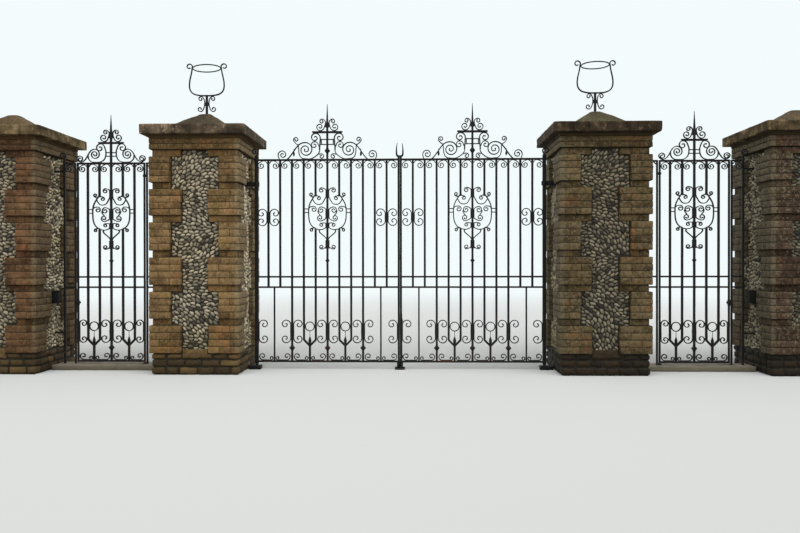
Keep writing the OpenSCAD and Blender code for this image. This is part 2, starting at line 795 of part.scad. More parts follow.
module cresting(side) {
    color(iron) in_main_leaf(side) {
        scrollwork() {
            union() {
                main_crest_strips();
                stile_finial();
            }
            head_collar(main_cross_z, main_tip_z);
            leaf_ironwork();
        }
        cross_bar(1.28 * main_bay, main_cross_z);
    }
}

// The moulded bar across a cresting, with the centre bar through it
module cross_bar(half, z) {
    difference() {
        union() {
            translate([-half, -15, z - 6]) cube([2 * half, 30, 14]);
            translate([-half + 9, -12, z - 13]) cube([2 * half - 18, 24, 8]);
        }
        translate([-bar_w / 2 - seat, -bar_w / 2 - seat, z - 20])
            cube([bar_w + 2 * seat, bar_w + 2 * seat, 40]);
    }
}

// A low scroll on the bottom rail between a thick bar at x = 0 and a stem at x = span
module rail_scroll(span, thick, stem) {
    z = bottom_rail_z + rail_h / 2;
    a = [thick / 2 + strip_w / 2 + low_scroll_r, z + strip_w / 2 + low_scroll_r];
    b = [span - stem / 2 - strip_w / 2 - low_curl_r, z + strip_w / 2 + low_curl_r];
    double_strip(double_scroll(a, low_scroll_r, 270, -390, b, low_curl_r, 270, 300));
}

module low_arch(bay) {
    r = bay / 2 - bar_w / 2;
    translate([0, arch_z]) difference() {
        circle(r = r, $fn = 14);
        circle(r = r - strip_w, $fn = 14);
    }
    bud(0, fork_z + 12, bend_z + 44, 34);
    bar(0, bend_z + 40, arch_z - r + strip_w / 2, 6);
}

// Scrolls of the lower panel. Each entry is [thick bar, stem, thick bar's width].
low_spans = [[0, 1.5, heel_w], [3, 1.5, bar_w], [3, 4.5, bar_w], [6, 4.5, bar_w],
    [6, 7.5, bar_w], [9, 7.5, bar_w], [9, 10.5, bar_w], [12, 10.5, meeting_w]];

module lower_scrolls(side) {
    c_depth = main_bay - bar_w - 6;
    color(iron) in_main_leaf(side) scrollwork() {
        union() {
            for (s = low_spans) {
                stem = abs(s[1] - 6) > 4 ? slim_w : bar_w;
                dir = sign(s[1] - s[0]);
                translate([bar_x(s[0]), 0]) mirror([dir > 0 ? 0 : 1, 0]) {
                    rail_scroll(1.5 * main_bay, s[2], stem);
                    translate([s[2] / 2, 0]) c_scroll(low_c_z[0], low_c_z[1], c_depth);
                }
            }
            for (i = [4.5, 7.5]) translate([bar_x(i), 0]) low_arch(main_bay);
        }
        for (i = [3, 6, 9]) {
            z = (low_c_z[0] + low_c_z[1]) / 2;
            bar(bar_x(i), z - 14, z + 14, bar_w + 2 * collar_out);
        }
        leaf_ironwork();
    }
}

// Side gates, drawn about the centre bar with the hinge stile on the left

module in_side_gate(side) {
    translate([side * side_x, 0, 0]) scale([side, 1, 1]) children();
}

module side_bars() {
    b = side_bay;
    bar(0, bottom_rail_z, side_tip_z - point_l);
    both_sides() {
        bar(2 * b, bend_z, side_rail_z);
        bar(b, bend_z, lyre_foot_z);
        bar(b, lyre_top_z, side_rail_z);
        translate([1.5 * b, 0]) fork(b);
    }
    bar(side_stile_x, side_foot_z, side_rail_top, post_w);
}

module side_rails() {
    for (z = side_rail_heights) rail(-side_stile_x + post_w / 2, side_stile_x, z);
}

module side_ironwork() {
    side_bars();
    side_rails();
    bar(-side_stile_x, side_foot_z, side_rail_top, post_w);
}

module side_frame(side) {
    color(iron) in_side_gate(side) {
        upright() offset(delta = 0) side_bars();
        upright(rail_depth) offset(delta = -seat) side_rails();
        knop(knop_z, knop_r);
        knop(small_knop_z, small_knop_r);
        point(side_tip_z - point_l, bar_w, point_l);
        translate([side_stile_x, 0, latch_z]) rotate([90, 0, 0]) {
            cylinder(d = 14, h = 60, center = true, $fn = 8);
            for (s = [-1, 1]) translate([0, 0, s * 34]) cylinder(d = 30, h = 16, center = true, $fn = 8);
        }
    }
}

module side_stile(side) {
    w = post_w;
    z = side_hinge_z - side_journal_h / 2;
    pin_z = sill_h + side_cup_floor + hinge_clear;
    color(iron) in_side_gate(side) translate([-side_stile_x, 0, 0]) {
        translate([-w / 2, -w / 2, side_foot_z]) cube([w, w, z - side_foot_z]);
        translate([0, 0, z]) cylinder(d = side_journal_d, h = side_journal_h, $fn = 32);
        translate([-w / 2, -w / 2, z + side_journal_h]) cube([w, w, side_rail_top - z - side_journal_h]);
        translate([0, 0, pin_z]) cylinder(d = side_pin_d, h = side_foot_z - pin_z + 1, $fn = 32);
    }
}

module side_hinges(side) {
    h = side_journal_h - 10;
    reach = jamb_post_x - post_w / 2 - side_stile_x - seat;
    color(iron) in_side_gate(side) translate([-side_stile_x, 0, 0]) {
        translate([0, 0, side_hinge_z - h / 2]) difference() {
            translate([-reach, -cup_w / 2, 0]) cube([reach + cup_w / 2, cup_w, h]);
            translate([0, 0, -1]) cylinder(d = side_journal_d + 2 * hinge_clear, h = h + 2, $fn = 32);
        }
        translate([0, 0, sill_h]) difference() {
            translate([-cup_w / 2, -cup_w / 2, 0]) cube([cup_w, cup_w, side_cup_h]);
            translate([0, 0, side_cup_floor])
                cylinder(d = side_pin_d + 2 * hinge_clear, h = side_cup_h, $fn = 32);
        }
    }
}

module jamb_drawing() {
    mid = (wall_post_x + jamb_post_x) / 2;
    post_top_z = side_rail_top + 40;
    bar(wall_post_x, sill_h, post_top_z, bar_w);
    bar(jamb_post_x, sill_h, side_rail_top, post_w);
    for (z = [lower_mid_z, upper_mid_z, side_rail_z]) rail(jamb_post_x, wall_post_x, z);
    for (z = lug_heights) rail(wall_post_x, side_opening / 2 + flint_depth, z, 20);
    bay = wall_post_x - jamb_post_x;
    translate([mid, 0]) hanging_scroll(bay + 2, true, side_rail_z);
    scroll_strip(scroll([wall_post_x - 2, post_top_z - 4], 90, [wall_post_x + 22, post_top_z + 44],
        36, 170, -420), 14, strip_w);
}

module jamb_panels(side) {
    color(iron) in_side_gate(side) upright() offset(delta = -seat) both_sides() jamb_drawing();
}

module side_lyre(side) {
    color(iron) in_side_gate(side) scrollwork() {
        lyre_strips(side_bay);
        lyre_collars(side_bay);
        side_ironwork();
    }
}

module side_crest_strips() {
    b = side_bay;
    both_sides() {
        // Outer scroll that runs along the rail and up into the volute
        scroll_strip(concat(
            reverse(curl(side_crest(b, 2.66, 54), 0.28 * b, inner_r, 20, 440)),
            tail(sweep_to(side_crest(b, 2.93, 67), 280, side_crest(b, 2.6, 12), 185, 0.4)),
            tail(scroll(side_crest(b, 2.6, 12), 175, side_crest(b, 1.40, 106), 0.44 * b, 90, 620))));
        // Enclosing scroll, from the shoulder under the volute, up to the curl under the cross bar
        scroll_strip(concat(
            sweep_to(side_crest(b, 1.96, 96), -80, side_crest(b, 1.5, 8), 180, 0.4),
            tail(sweep_to(side_crest(b, 1.5, 8), 180, side_crest(b, 0.9, 12), 165, 0.4)),
            tail(sweep_to(side_crest(b, 0.9, 12), 165, side_crest(b, 0.44, 128), 88, 0.4)),
            tail(scroll(side_crest(b, 0.44, 128), 92, side_crest(b, 0.95, 180), 0.40 * b, 165, -460))));
        for (z = [84, 126]) translate([0, side_rail_z + z * side_crest_unit - 4]) square([0.48 * b, 8]);
    }
    crest_head(b, side_cross_z);
}

module side_cresting(side) {
    color(iron) in_side_gate(side) {
        scrollwork() {
            side_crest_strips();
            head_collar(side_cross_z, side_tip_z);
            side_ironwork();
        }
        cross_bar(1.08 * side_bay, side_cross_z);
    }
}

module side_scrolls(side) {
    b = side_bay;
    c_depth = b - bar_w - 6;
    z = (low_c_z[0] + low_c_z[1]) / 2;
    color(iron) in_side_gate(side) scrollwork() {
        both_sides() {
            for (i = [0.5, 1.5]) translate([i * b, 0]) hanging_scroll(b, i < 1, side_rail_z);
            translate([(2 * b + side_stile_x) / 2, 0])
                hanging_scroll(side_stile_x - 2 * b, true, side_rail_z);
            translate([1.5 * b, 0]) low_arch(b);
            rail_scroll(1.5 * b, bar_w, bar_w);
            translate([side_stile_x, 0]) mirror([1, 0]) {
                rail_scroll(side_stile_x - 1.5 * b, post_w, bar_w);
                translate([post_w / 2, 0]) c_scroll(low_c_z[0], low_c_z[1], c_depth - side_axis_in);
            }
            translate([bar_w / 2, 0]) c_scroll(low_c_z[0], low_c_z[1], c_depth);
        }
        bar(0, z - 14, z + 14, bar_w + 2 * collar_out);
        side_ironwork();
    }
}

pier_core(-outer_x);  // left_outer_pier_core
pier_quoins(-outer_x);  // left_outer_pier_quoins
pier_cap(-outer_x);  // left_outer_pier_cap
pier_core(-inner_x);  // left_inner_pier_core
pier_quoins(-inner_x);  // left_inner_pier_quoins
pier_cap(-inner_x);  // left_inner_pier_cap
pier_core(inner_x);  // right_inner_pier_core
pier_quoins(inner_x);  // right_inner_pier_quoins
pier_cap(inner_x);  // right_inner_pier_cap
pier_core(outer_x);  // right_outer_pier_core
pier_quoins(outer_x);  // right_outer_pier_quoins
pier_cap(outer_x);  // right_outer_pier_cap
lantern_cradle(-1);  // left_lantern_cradle
lantern_cradle(1);  // right_lantern_cradle
hinge_irons(-1);  // left_hinge_irons
hinge_irons(1);  // right_hinge_irons
gate_stop();
sill(-side_x);  // left_sill
sill(side_x);  // right_sill
jamb_panels(-1);  // left_jamb_panels
jamb_panels(1);  // right_jamb_panels
side_hinges(-1);  // left_side_hinges
side_hinges(1);  // right_side_hinges
wall_box(-1);  // left_wall_box
wall_box(1);  // right_wall_box
heel_stile(-1);  // left_leaf_heel_stile
main_frame(-1);  // left_leaf_frame
bay_scrolls(-1);  // left_leaf_bay_scrolls
lyre(-1);  // left_leaf_lyre
cresting(-1);  // left_leaf_cresting
lower_scrolls(-1);  // left_leaf_lower_scrolls
heel_stile(1);  // right_leaf_heel_stile
main_frame(1);  // right_leaf_frame
bay_scrolls(1);  // right_leaf_bay_scrolls
lyre(1);  // right_leaf_lyre
cresting(1);  // right_leaf_cresting
lower_scrolls(1);  // right_leaf_lower_scrolls
drop_bolt();
side_stile(-1);  // left_side_stile
side_frame(-1);  // left_side_frame
side_lyre(-1);  // left_side_lyre
side_cresting(-1);  // left_side_cresting
side_scrolls(-1);  // left_side_scrolls
side_stile(1);  // right_side_stile
side_frame(1);  // right_side_frame
side_lyre(1);  // right_side_lyre
side_cresting(1);  // right_side_cresting
side_scrolls(1);  // right_side_scrolls
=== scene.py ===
"""The looks of a wrought iron driveway gate with brick and flint piers.

Ironwork is drawn flat: a point is a complex number of millimetres, across and up. Meshes are in
metres, at the place of the node that they stand for.
"""

import cmath
import math

import bpy
import numpy as np
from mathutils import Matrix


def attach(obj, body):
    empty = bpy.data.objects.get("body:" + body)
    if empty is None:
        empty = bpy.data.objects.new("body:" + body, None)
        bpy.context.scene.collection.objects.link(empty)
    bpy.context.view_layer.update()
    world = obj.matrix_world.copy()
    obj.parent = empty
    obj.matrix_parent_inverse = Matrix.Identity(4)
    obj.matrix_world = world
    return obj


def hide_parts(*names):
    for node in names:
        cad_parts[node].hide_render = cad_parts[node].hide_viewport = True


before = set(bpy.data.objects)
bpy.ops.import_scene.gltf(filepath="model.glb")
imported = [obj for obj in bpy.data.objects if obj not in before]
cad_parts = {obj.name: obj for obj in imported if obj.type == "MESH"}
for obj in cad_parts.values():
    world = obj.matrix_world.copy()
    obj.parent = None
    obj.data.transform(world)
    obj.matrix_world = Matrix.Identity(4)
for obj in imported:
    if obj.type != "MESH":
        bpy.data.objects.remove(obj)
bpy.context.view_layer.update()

bl_info = {
    "name": "Wrought Iron Driveway Gate",
    "version": (1, 0, 0),
    "blender": (4, 5, 0),
    "location": "View3D > Sidebar > Gate",
    "description": "Builds the ironwork, piers, caps and stage of a wrought iron driveway gate",
    "category": "Add Mesh",
}

MM = 0.001

# Sizes of the piers and their courses, in millimetres
MAIN_OPENING = 3482
SIDE_OPENING = 1253
PIER_W = 1001
FOOTING_H = 240
FOOTING_BACK = 14
QUOIN_HEIGHTS = (305.5, 295.5, 303.5, 311, 289.5, 283)
RECESS_H = 74.5
RECESS_DEPTH = 30
FLINT_DEPTH = 45
QUOIN_SHORT = 238
QUOIN_LONG = 354
NECKING_H = 125
BED_H = 36
CAP_OVERHANG = 77
SLAB_H = 108
WEATHERING_H = 53
MOUND_W = 570
MOUND_H = 160
FOOTING_COURSES = (87, 79, 70)

# Where the piers and leaves stand
INNER_X = MAIN_OPENING / 2 + PIER_W / 2
OUTER_X = INNER_X + PIER_W + SIDE_OPENING
SIDE_X = INNER_X + PIER_W / 2 + SIDE_OPENING / 2
HINGE_OFFSET = 79
AXIS_X = MAIN_OPENING / 2 - HINGE_OFFSET
MEETING_GAP = 3
MEETING_W = 22
MAIN_BAYS = 12
MAIN_BAY = (AXIS_X - MEETING_GAP - MEETING_W / 2) / MAIN_BAYS
LEAF_HALF = MAIN_BAY * MAIN_BAYS / 2
LEAF_X = AXIS_X - LEAF_HALF
POST_OFFSET = 77
POST_W = 20
SIDE_BAY = (SIDE_OPENING / 2 - POST_OFFSET) / 4
SIDE_AXIS_IN = 20
SIDE_GAP = 10
SIDE_STILE_X = 3 * SIDE_BAY - SIDE_AXIS_IN
JAMB_POST_X = SIDE_STILE_X + POST_W + SIDE_GAP
WALL_POST_X = 4 * SIDE_BAY

# Heights of the masonry
ROW_Z = [FOOTING_H]
for quoin_h in QUOIN_HEIGHTS:
    ROW_Z.append(ROW_Z[-1] + quoin_h + RECESS_H)
QUOIN_TOP = ROW_Z[-1]
CAP_Z = QUOIN_TOP + NECKING_H
SLAB_Z = CAP_Z + BED_H
WEATHER_Z = SLAB_Z + SLAB_H
MOUND_Z = WEATHER_Z + WEATHERING_H
CAP_TOP_Z = MOUND_Z + MOUND_H
CAP_W = PIER_W + 2 * CAP_OVERHANG

# Sizes and heights of the ironwork
RAIL_H = 20
RAIL_DEPTH = 36
BAR_W = 24
SLIM_W = 18
HEEL_W = 40
IRON_DEPTH = 20
STRIP_W = 10.5
LONG_W = STRIP_W + 2.5
LEAF_W = STRIP_W + 4
EYE_R = STRIP_W * 0.75
INNER_R = 11
COLLAR_OUT = 12
BOTTOM_RAIL_Z = 90
LOWER_MID_Z = 950
UPPER_MID_Z = 1070
TOP_RAIL_Z = 2424
SIDE_RAIL_Z = 2394
STILE_FOOT_Z = 62
RAIL_TOP = TOP_RAIL_Z + 8
SIDE_RAIL_TOP = SIDE_RAIL_Z + 8
STILE_TOP_Z = RAIL_TOP + 40
SILL_H = 60
SIDE_FOOT_Z = SILL_H + 18
LYRE_Z = 1834
SIDE_LYRE_Z = 1834
LYRE_TOP = 166
LYRE_FOOT = 210
FORK_Z = 270
BEND_Z = FORK_Z + 69
ARCH_Z = BEND_Z + 155
KNOP_Z = 246
KNOP_R = 32
SMALL_KNOP_Z = 1258
SMALL_KNOP_R = 25
LOW_C_Z = (300, 572)
SIDE_C_Z = (1658, 1859)
MAIN_CROSS_Z = TOP_RAIL_Z + 322
SIDE_CROSS_Z = SIDE_RAIL_Z + 240
MAIN_TIP_Z = 3068
SIDE_TIP_Z = 2960
POINT_L = 210
TOP_HINGE_Z = 2143
SIDE_HINGE_Z = 2250
LATCH_Z = 771
BOLT_W = 18

# Hanging scrolls: the radius of their curls, how far they reach down, and how deep they bite into a bar
HANG_R = 40
HANG_DROP = 100
BITE = 2.5

# Lantern cradles, from the cap's top up
STEM_H = 218
STEM_T = 25
CRADLE_W = 423
ARM_TOP_Z = STEM_H + 382
ARM_T = 16
ARM_CURL_R = 37
HOOP_D = 315
HOOP_T = 14
HOOP_Z = STEM_H + 318

# Wall boxes
BOX_Z = 765
BOX_W = 100
BOX_H = 150
BOX_OUT = 105

# Degrees between the points of a curl, and millimetres between those of a straight bar
CURL_STEP = 12
BAR_STEP = 90

PIERS = {
    "left_outer": -OUTER_X,
    "left_inner": -INNER_X,
    "right_inner": INNER_X,
    "right_outer": OUTER_X,
}
SIDES = {"left": -1, "right": 1}


# Drawing of scrolls, as lists of complex points in millimetres


def polar(r, a):
    """A point at radius r, in the direction of a degrees."""
    return r * cmath.exp(1j * math.radians(a))


def heading(a, sweep):
    """The direction in which a curl runs where its spoke stands at angle a."""
    return a + math.copysign(90, sweep)


def curl(eye, r0, r1, a0, sweep):
    """A spiral about an eye, from radius r0 at angle a0 to radius r1."""
    n = max(6, math.ceil(abs(sweep) / CURL_STEP))
    t = [(i / n) ** 1.1 for i in range(n + 1)]
    return [eye + polar(r0 + (r1 - r0) * s, a0 + sweep * s) for s in t]


def bezier(a, b, c, d, n):
    """A curve of n steps from a to d, drawn towards b and c."""
    points = []
    for i in range(n + 1):
        t = i / n
        u = 1 - t
        points.append(u * u * u * a + 3 * u * u * t * b + 3 * u * t * t * c + t * t * t * d)
    return points


def sweep_to(p, a, q, b, pull=0.4):
    """A curve that leaves p in direction a and reaches q in direction b."""
    d = abs(q - p)
    n = max(4, min(14, math.ceil(d / 16)))
    return bezier(p, p + polar(d * pull, a), q - polar(d * pull, b), q, n)


def joined(*parts):
    """Curves that follow each other, without the points where they meet twice."""
    points = list(parts[0])
    for part in parts[1:]:
        points += part[1:]
    return points


def scroll(p, a, eye, r0, a0, sweep, pull=0.4):
    """A scroll that leaves point p in direction a and winds round the eye."""
    c = curl(eye, r0, INNER_R, a0, sweep)
    return joined(sweep_to(p, a, c[0], heading(a0, sweep), pull), c)


def double_scroll(eye_a, ra, a, sweep_a, eye_b, rb, b, sweep_b, pull=0.4):
    """A scroll that winds out of one eye and into another."""
    first = curl(eye_a, ra, INNER_R, a, sweep_a)
    last = curl(eye_b, rb, INNER_R, b, sweep_b)
    bridge = sweep_to(first[0], heading(a, sweep_a) + 180, last[0], heading(b, sweep_b), pull)
    return joined(first[::-1], bridge, last)


def flip(points):
    """The mirror image of a curve."""
    return [complex(-p.real, p.imag) for p in points]


def shift(points, by):
    """A curve moved by a complex number of millimetres."""
    return [p + by for p in points]


# Noise that is worked out from the place alone, so that each run gives the same shapes


def lattice(ix, iy, iz, seed):
    """A number from -1 to 1 for each corner of a lattice, always the same one for a corner and a seed."""
    h = (ix * 374761393 + iy * 668265263 + iz * 1274126177 + seed * 974634777) & 0x7FFFFFFF
    h = ((h ^ (h >> 13)) * 1103515245) & 0x7FFFFFFF
    return ((h ^ (h >> 16)) & 0xFFFF) / 32767.5 - 1


def rough(points, size, seed):
    """Smooth noise from -1 to 1 at an array of points, with lumps about size across."""
    p = np.asarray(points, float) / size
    base = np.floor(p).astype(np.int64)
    f = p - base
    f = f * f * (3 - 2 * f)
    total = np.zeros(len(p))
    for dx in (0, 1):
        wx = f[:, 0] if dx else 1 - f[:, 0]
        for dy in (0, 1):
            wy = f[:, 1] if dy else 1 - f[:, 1]
            for dz in (0, 1):
                wz = f[:, 2] if dz else 1 - f[:, 2]
                corner = lattice(base[:, 0] + dx, base[:, 1] + dy, base[:, 2] + dz, seed)
                total += wx * wy * wz * corner
    return total


# Gathering the mesh of a piece


class Work:
    """The vertices and faces of one piece, in millimetres, with a tone and a kind at each vertex."""

    def __init__(self):
        self.verts = []
        self.quads = []
        self.tris = []
        self.tones = []
        self.kinds = []
        self.count = 0

    def add(self, verts, quads, tris=(), tone=0.5, kind=0.0):
        """Adds vertices, and faces that count them from 0."""
        verts = np.asarray(verts, float).reshape(-1, 3)
        self.verts.append(verts)
        for store, faces, size in ((self.quads, quads, 4), (self.tris, tris, 3)):
            faces = np.asarray(faces, np.int64).reshape(-1, size)
            store.append(faces + self.count)
        self.tones.append(np.broadcast_to(np.asarray(tone, float), len(verts)))
        self.kinds.append(np.broadcast_to(np.asarray(kind, float), len(verts)))
        self.count += len(verts)

    def take(self, other, scale_x, move_x):
        """Adds a copy of other work, moved along X, and turned inside out where it is mirrored."""
        verts = np.concatenate(other.verts) * (scale_x, 1, 1) + (move_x, 0, 0)
        quads = np.concatenate(other.quads)
        tris = np.concatenate(other.tris)
        if scale_x < 0:
            quads = quads[:, ::-1]
            tris = tris[:, ::-1]
        self.add(verts, quads, tris, np.concatenate(other.tones), np.concatenate(other.kinds))

    def piece(self, node, body, material, slot, made="forged", sharp=38):
        """Makes the object, and lets it ride and stand for its node. The slot is not used."""
        name = f"{made}_{node}"
        verts = np.concatenate(self.verts) * MM
        quads = np.concatenate(self.quads)
        tris = np.concatenate(self.tris)
        loops = np.concatenate([quads.ravel(), tris.ravel()])
        starts = np.concatenate([np.arange(len(quads)) * 4, len(quads) * 4 + np.arange(len(tris)) * 3])
        mesh = bpy.data.meshes.new(name)
        mesh.vertices.add(len(verts))
        mesh.vertices.foreach_set("co", verts.astype(np.float32).ravel())
        mesh.loops.add(len(loops))
        mesh.loops.foreach_set("vertex_index", loops.astype(np.int32))
        mesh.polygons.add(len(starts))
        mesh.polygons.foreach_set("loop_start", starts.astype(np.int32))
        mesh.update(calc_edges=True)
        for label, values in (("tone", self.tones), ("kind", self.kinds)):
            layer = mesh.attributes.new(label, "FLOAT", "POINT")
            layer.data.foreach_set("value", np.concatenate(values).astype(np.float32))
        mesh.polygons.foreach_set("use_smooth", np.ones(len(starts), bool))
        mesh.set_sharp_from_angle(angle=math.radians(sharp))
        mesh.materials.append(material)
        piece = bpy.data.objects.new(name, mesh)
        bpy.context.scene.collection.objects.link(piece)
        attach(piece, body)
        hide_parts(node)


# Forging: strips, bars, turned pieces and blocks


def section(w, d, c):
    """The eight corners of a bar's section, w wide and d deep, with its edges taken off by c."""
    a = w / 2
    b = d / 2
    c = min(c, a * 0.6, b * 0.6)
    return np.array([(a - c, -b), (a, -b + c), (a, b - c), (a - c, b),
                     (-a + c, b), (-a, b - c), (-a, -b + c), (-a + c, -b)])


def forged(work, points, w0=STRIP_W, w1=None, depth=IRON_DEPTH, end_depth=None, y=0.0, edge=1.5,
           wave=0.35):
    """A bar or strip along a curve. Its width runs from w0 to w1, and its faces aren't quite true."""
    w1 = w0 if w1 is None else w1
    end_depth = depth if end_depth is None else end_depth
    p = np.array(points, complex)
    n = len(p)
    before = np.r_[p[0], p[:-1]]
    after = np.r_[p[1:], p[-1]]
    d = after - before
    d /= np.abs(d)
    side = d * 1j
    t = np.linspace(0, 1, n)
    rings = []
    for i in range(n):
        s = section(w0 + (w1 - w0) * t[i], depth + (end_depth - depth) * t[i], edge)
        x = p[i].real + side[i].real * s[:, 0]
        z = p[i].imag + side[i].imag * s[:, 0]
        rings.append(np.stack([x, y + s[:, 1], z], 1))
    verts = np.concatenate(rings)
    if wave:
        verts = verts + wave * np.stack([rough(verts, 41, k) for k in (1, 2, 3)], 1)
    k = np.arange(8)
    i = np.arange(n - 1)[:, None] * 8
    a = i + k
    b = i + (k + 1) % 8
    quads = np.stack([a, a + 8, b + 8, b], 2).reshape(-1, 4)
    cap = np.array([(0, 1, 2, 3), (0, 3, 4, 7), (4, 5, 6, 7)])
    work.add(verts, np.concatenate([quads, cap, cap[:, ::-1] + (n - 1) * 8]))


def along(x0, z0, x1, z1):
    """Points along a straight bar."""
    a = complex(x0, z0)
    b = complex(x1, z1)
    n = max(1, round(abs(b - a) / BAR_STEP))
    return [a + (b - a) * i / n for i in range(n + 1)]


def upright_bar(work, x, z0, z1, w=BAR_W, y=0.0, edge=1.8):
    """A square bar that stands on height z0."""
    forged(work, along(x, z0, x, z1), w, depth=w, y=y, edge=edge, wave=0.6)


def rail(work, x0, x1, z, h=RAIL_H, depth=RAIL_DEPTH):
    """A level flat bar whose middle is at height z."""
    forged(work, along(x0, z, x1, z), h, depth=depth, edge=2.2, wave=0.6)


def turned(work, profile, x=0.0, y=0.0, z=0.0, axis="z", sides=20, closed=False):
    """A turned piece: its profile holds pairs of radius and place along the axis."""
    profile = np.asarray(profile, float)
    a = np.linspace(0, 2 * math.pi, sides, endpoint=False)
    r = profile[:, :1]
    ring = np.stack([r * np.cos(a), r * np.sin(a), np.repeat(profile[:, 1:], sides, 1)], 2).reshape(-1, 3)
    if axis == "y":
        ring = ring[:, [0, 2, 1]] * (1, -1, 1)
    if axis == "x":
        ring = ring[:, [2, 0, 1]]
    n = len(profile)
    j = np.arange(n if closed else n - 1)[:, None] * sides
    up = (np.arange(1, (n if closed else n - 1) + 1) % n)[:, None] * sides
    k = np.arange(sides)
    q = np.stack([j + k, j + (k + 1) % sides, up + (k + 1) % sides, up + k], 2).reshape(-1, 4)
    tris = []
    if not closed:
        ring = np.concatenate([ring, [ring[:sides].mean(0), ring[-sides:].mean(0)]])
        foot = n * sides
        for s in range(sides):
            tris.append((foot, (s + 1) % sides, s))
            tris.append((foot + 1, (n - 1) * sides + s, (n - 1) * sides + (s + 1) % sides))
    work.add(ring + (x, y, z), q, tris)


def rod(work, r, z0, z1, x=0.0, y=0.0, z=0.0, axis="z", edge=1.2, sides=24):
    """A round bar with its ends eased."""
    profile = [(r - edge, z0), (r, z0 + edge), (r, z1 - edge), (r - edge, z1)]
    turned(work, profile, x, y, z, axis, sides)


def ring_of(work, r_in, r_out, z0, z1, x=0.0, edge=1.5):
    """A collar with a round bore, about an upright axis."""
    profile = [(r_in, z0), (r_out - edge, z0), (r_out, z0 + edge), (r_out, z1 - edge), (r_out - edge, z1),
               (r_in, z1)]
    turned(work, profile, x, sides=40, closed=True)


def surface_grid(cuts):
    """The surface of a cube from -1 to 1 as a grid, with each axis cut at the given places."""
    verts = []
    quads = []
    count = 0
    for axis in range(3):
        u = np.asarray(cuts[(axis + 1) % 3], float)
        v = np.asarray(cuts[(axis + 2) % 3], float)
        for s in (-1, 1):
            gu, gv = np.meshgrid(u, v, indexing="ij")
            face = np.zeros((gu.size, 3))
            face[:, axis] = s
            face[:, (axis + 1) % 3] = gu.ravel()
            face[:, (axis + 2) % 3] = gv.ravel()
            i, j = np.meshgrid(np.arange(len(u) - 1), np.arange(len(v) - 1), indexing="ij")
            a = (i * len(v) + j).ravel()
            q = np.stack([a, a + len(v), a + len(v) + 1, a + 1], 1)
            quads.append((q if s > 0 else q[:, ::-1]) + count)
            verts.append(face)
            count += len(face)
    verts = np.concatenate(verts)
    keys, index = np.unique(np.round(verts, 6), axis=0, return_inverse=True)
    return keys, index.reshape(-1)[np.concatenate(quads)]


def cuts_for(half, edge, parts):
    """Cuts of one side of a block: one near each edge, and the rest even between them."""
    near = max(0.2, 1 - edge / half)
    return [-1, *np.linspace(-near, near, parts), 1]


def block(work, a, b, edge, parts=(2, 2, 2), wear=0.0, lump=60, seed=0, tone=0.5, kind=0.0):
    """A block between two corners, with rounded edges, and with worn faces where wear is given."""
    lo = np.minimum(a, b).astype(float)
    hi = np.maximum(a, b).astype(float)
    half = (hi - lo) / 2
    edge = min(edge, *(half * 0.8))
    grid, quads = surface_grid([cuts_for(half[k], edge, parts[k]) for k in range(3)])
    p = grid * half
    core = np.clip(p, -(half - edge), half - edge)
    out = p - core
    length = np.linalg.norm(out, axis=1, keepdims=True)
    out /= np.maximum(length, 1e-9)
    p = core + out * edge
    p = p + (lo + hi) / 2
    if wear:
        worn = wear * (rough(p, lump, seed) + 0.5 * rough(p, lump * 0.4, seed + 7)) - wear * 0.7
        p = p + out * worn[:, None]
    work.add(p, quads, tone=tone, kind=kind)


def stud(work, x, y, z, r, out, axis="y"):
    """A low rivet head that faces -Y, +Y or along X by the sign of out."""
    s = math.copysign(1, out)
    profile = [(r, 0), (r * 0.92, abs(out) * 0.5), (r * 0.6, abs(out) * 0.88), (r * 0.2, abs(out))]
    if axis == "y":
        turned(work, [(a, -b * s) for a, b in (profile if s < 0 else profile[::-1])], x, y, z, "y", 12)
    else:
        turned(work, [(a, b * s) for a, b in (profile if s > 0 else profile[::-1])], x, y, z, "x", 12)


# Forms of ironwork that come again and again


def eye_bead(work, p, depth):
    """The bead in which a scroll ends."""
    b = depth / 2
    profile = [(EYE_R * 0.55, -b - 1.2), (EYE_R, -b + 1.0), (EYE_R, b - 1.0), (EYE_R * 0.55, b + 1.2)]
    turned(work, profile, p.real, 0, p.imag, "y", 12)


def scroll_strip(work, points, w0=STRIP_W, w1=STRIP_W, depth=IRON_DEPTH):
    """A strip with a bead at its last end."""
    forged(work, points, w0, w1, depth, edge=1.6)
    eye_bead(work, points[-1], depth)


def double_strip(work, points, depth=IRON_DEPTH):
    """A strip with a bead at both ends."""
    forged(work, points, depth=depth, edge=1.6)
    eye_bead(work, points[0], depth)
    eye_bead(work, points[-1], depth)


def both(draw, work, points, *sizes):
    """Forges a curve and its mirror image."""
    draw(work, points, *sizes)
    draw(work, flip(points), *sizes)


def collar(work, x, z0, z1, w, depth=IRON_DEPTH + 8):
    """A collar that binds scrolls to a bar, with its two proud lips."""
    lip = min(6, (z1 - z0) / 5)
    forged(work, [complex(x, z0 + 1), complex(x, z1 - 1)], w - 2.5, depth=depth - 2.5, edge=2, wave=0.3)
    for z in (z0, z1 - lip):
        forged(work, [complex(x, z), complex(x, z + lip)], w, depth=depth, edge=2, wave=0.3)


def bud(work, x, z0, z1, w):
    """A leaf shaped bud, pointed at the top."""
    n = 14
    profile = []
    for i in range(n + 1):
        t = i / n
        profile.append((max(0.4, w / 2 * math.sin(math.pi * t ** 0.7)), z0 + (z1 - z0) * t))
    a = Work()
    turned(a, profile, sides=16)
    verts = np.concatenate(a.verts)
    verts[:, 1] *= min(1.0, IRON_DEPTH / w)
    work.add(verts + (x, 0, 0), np.concatenate(a.quads), np.concatenate(a.tris))


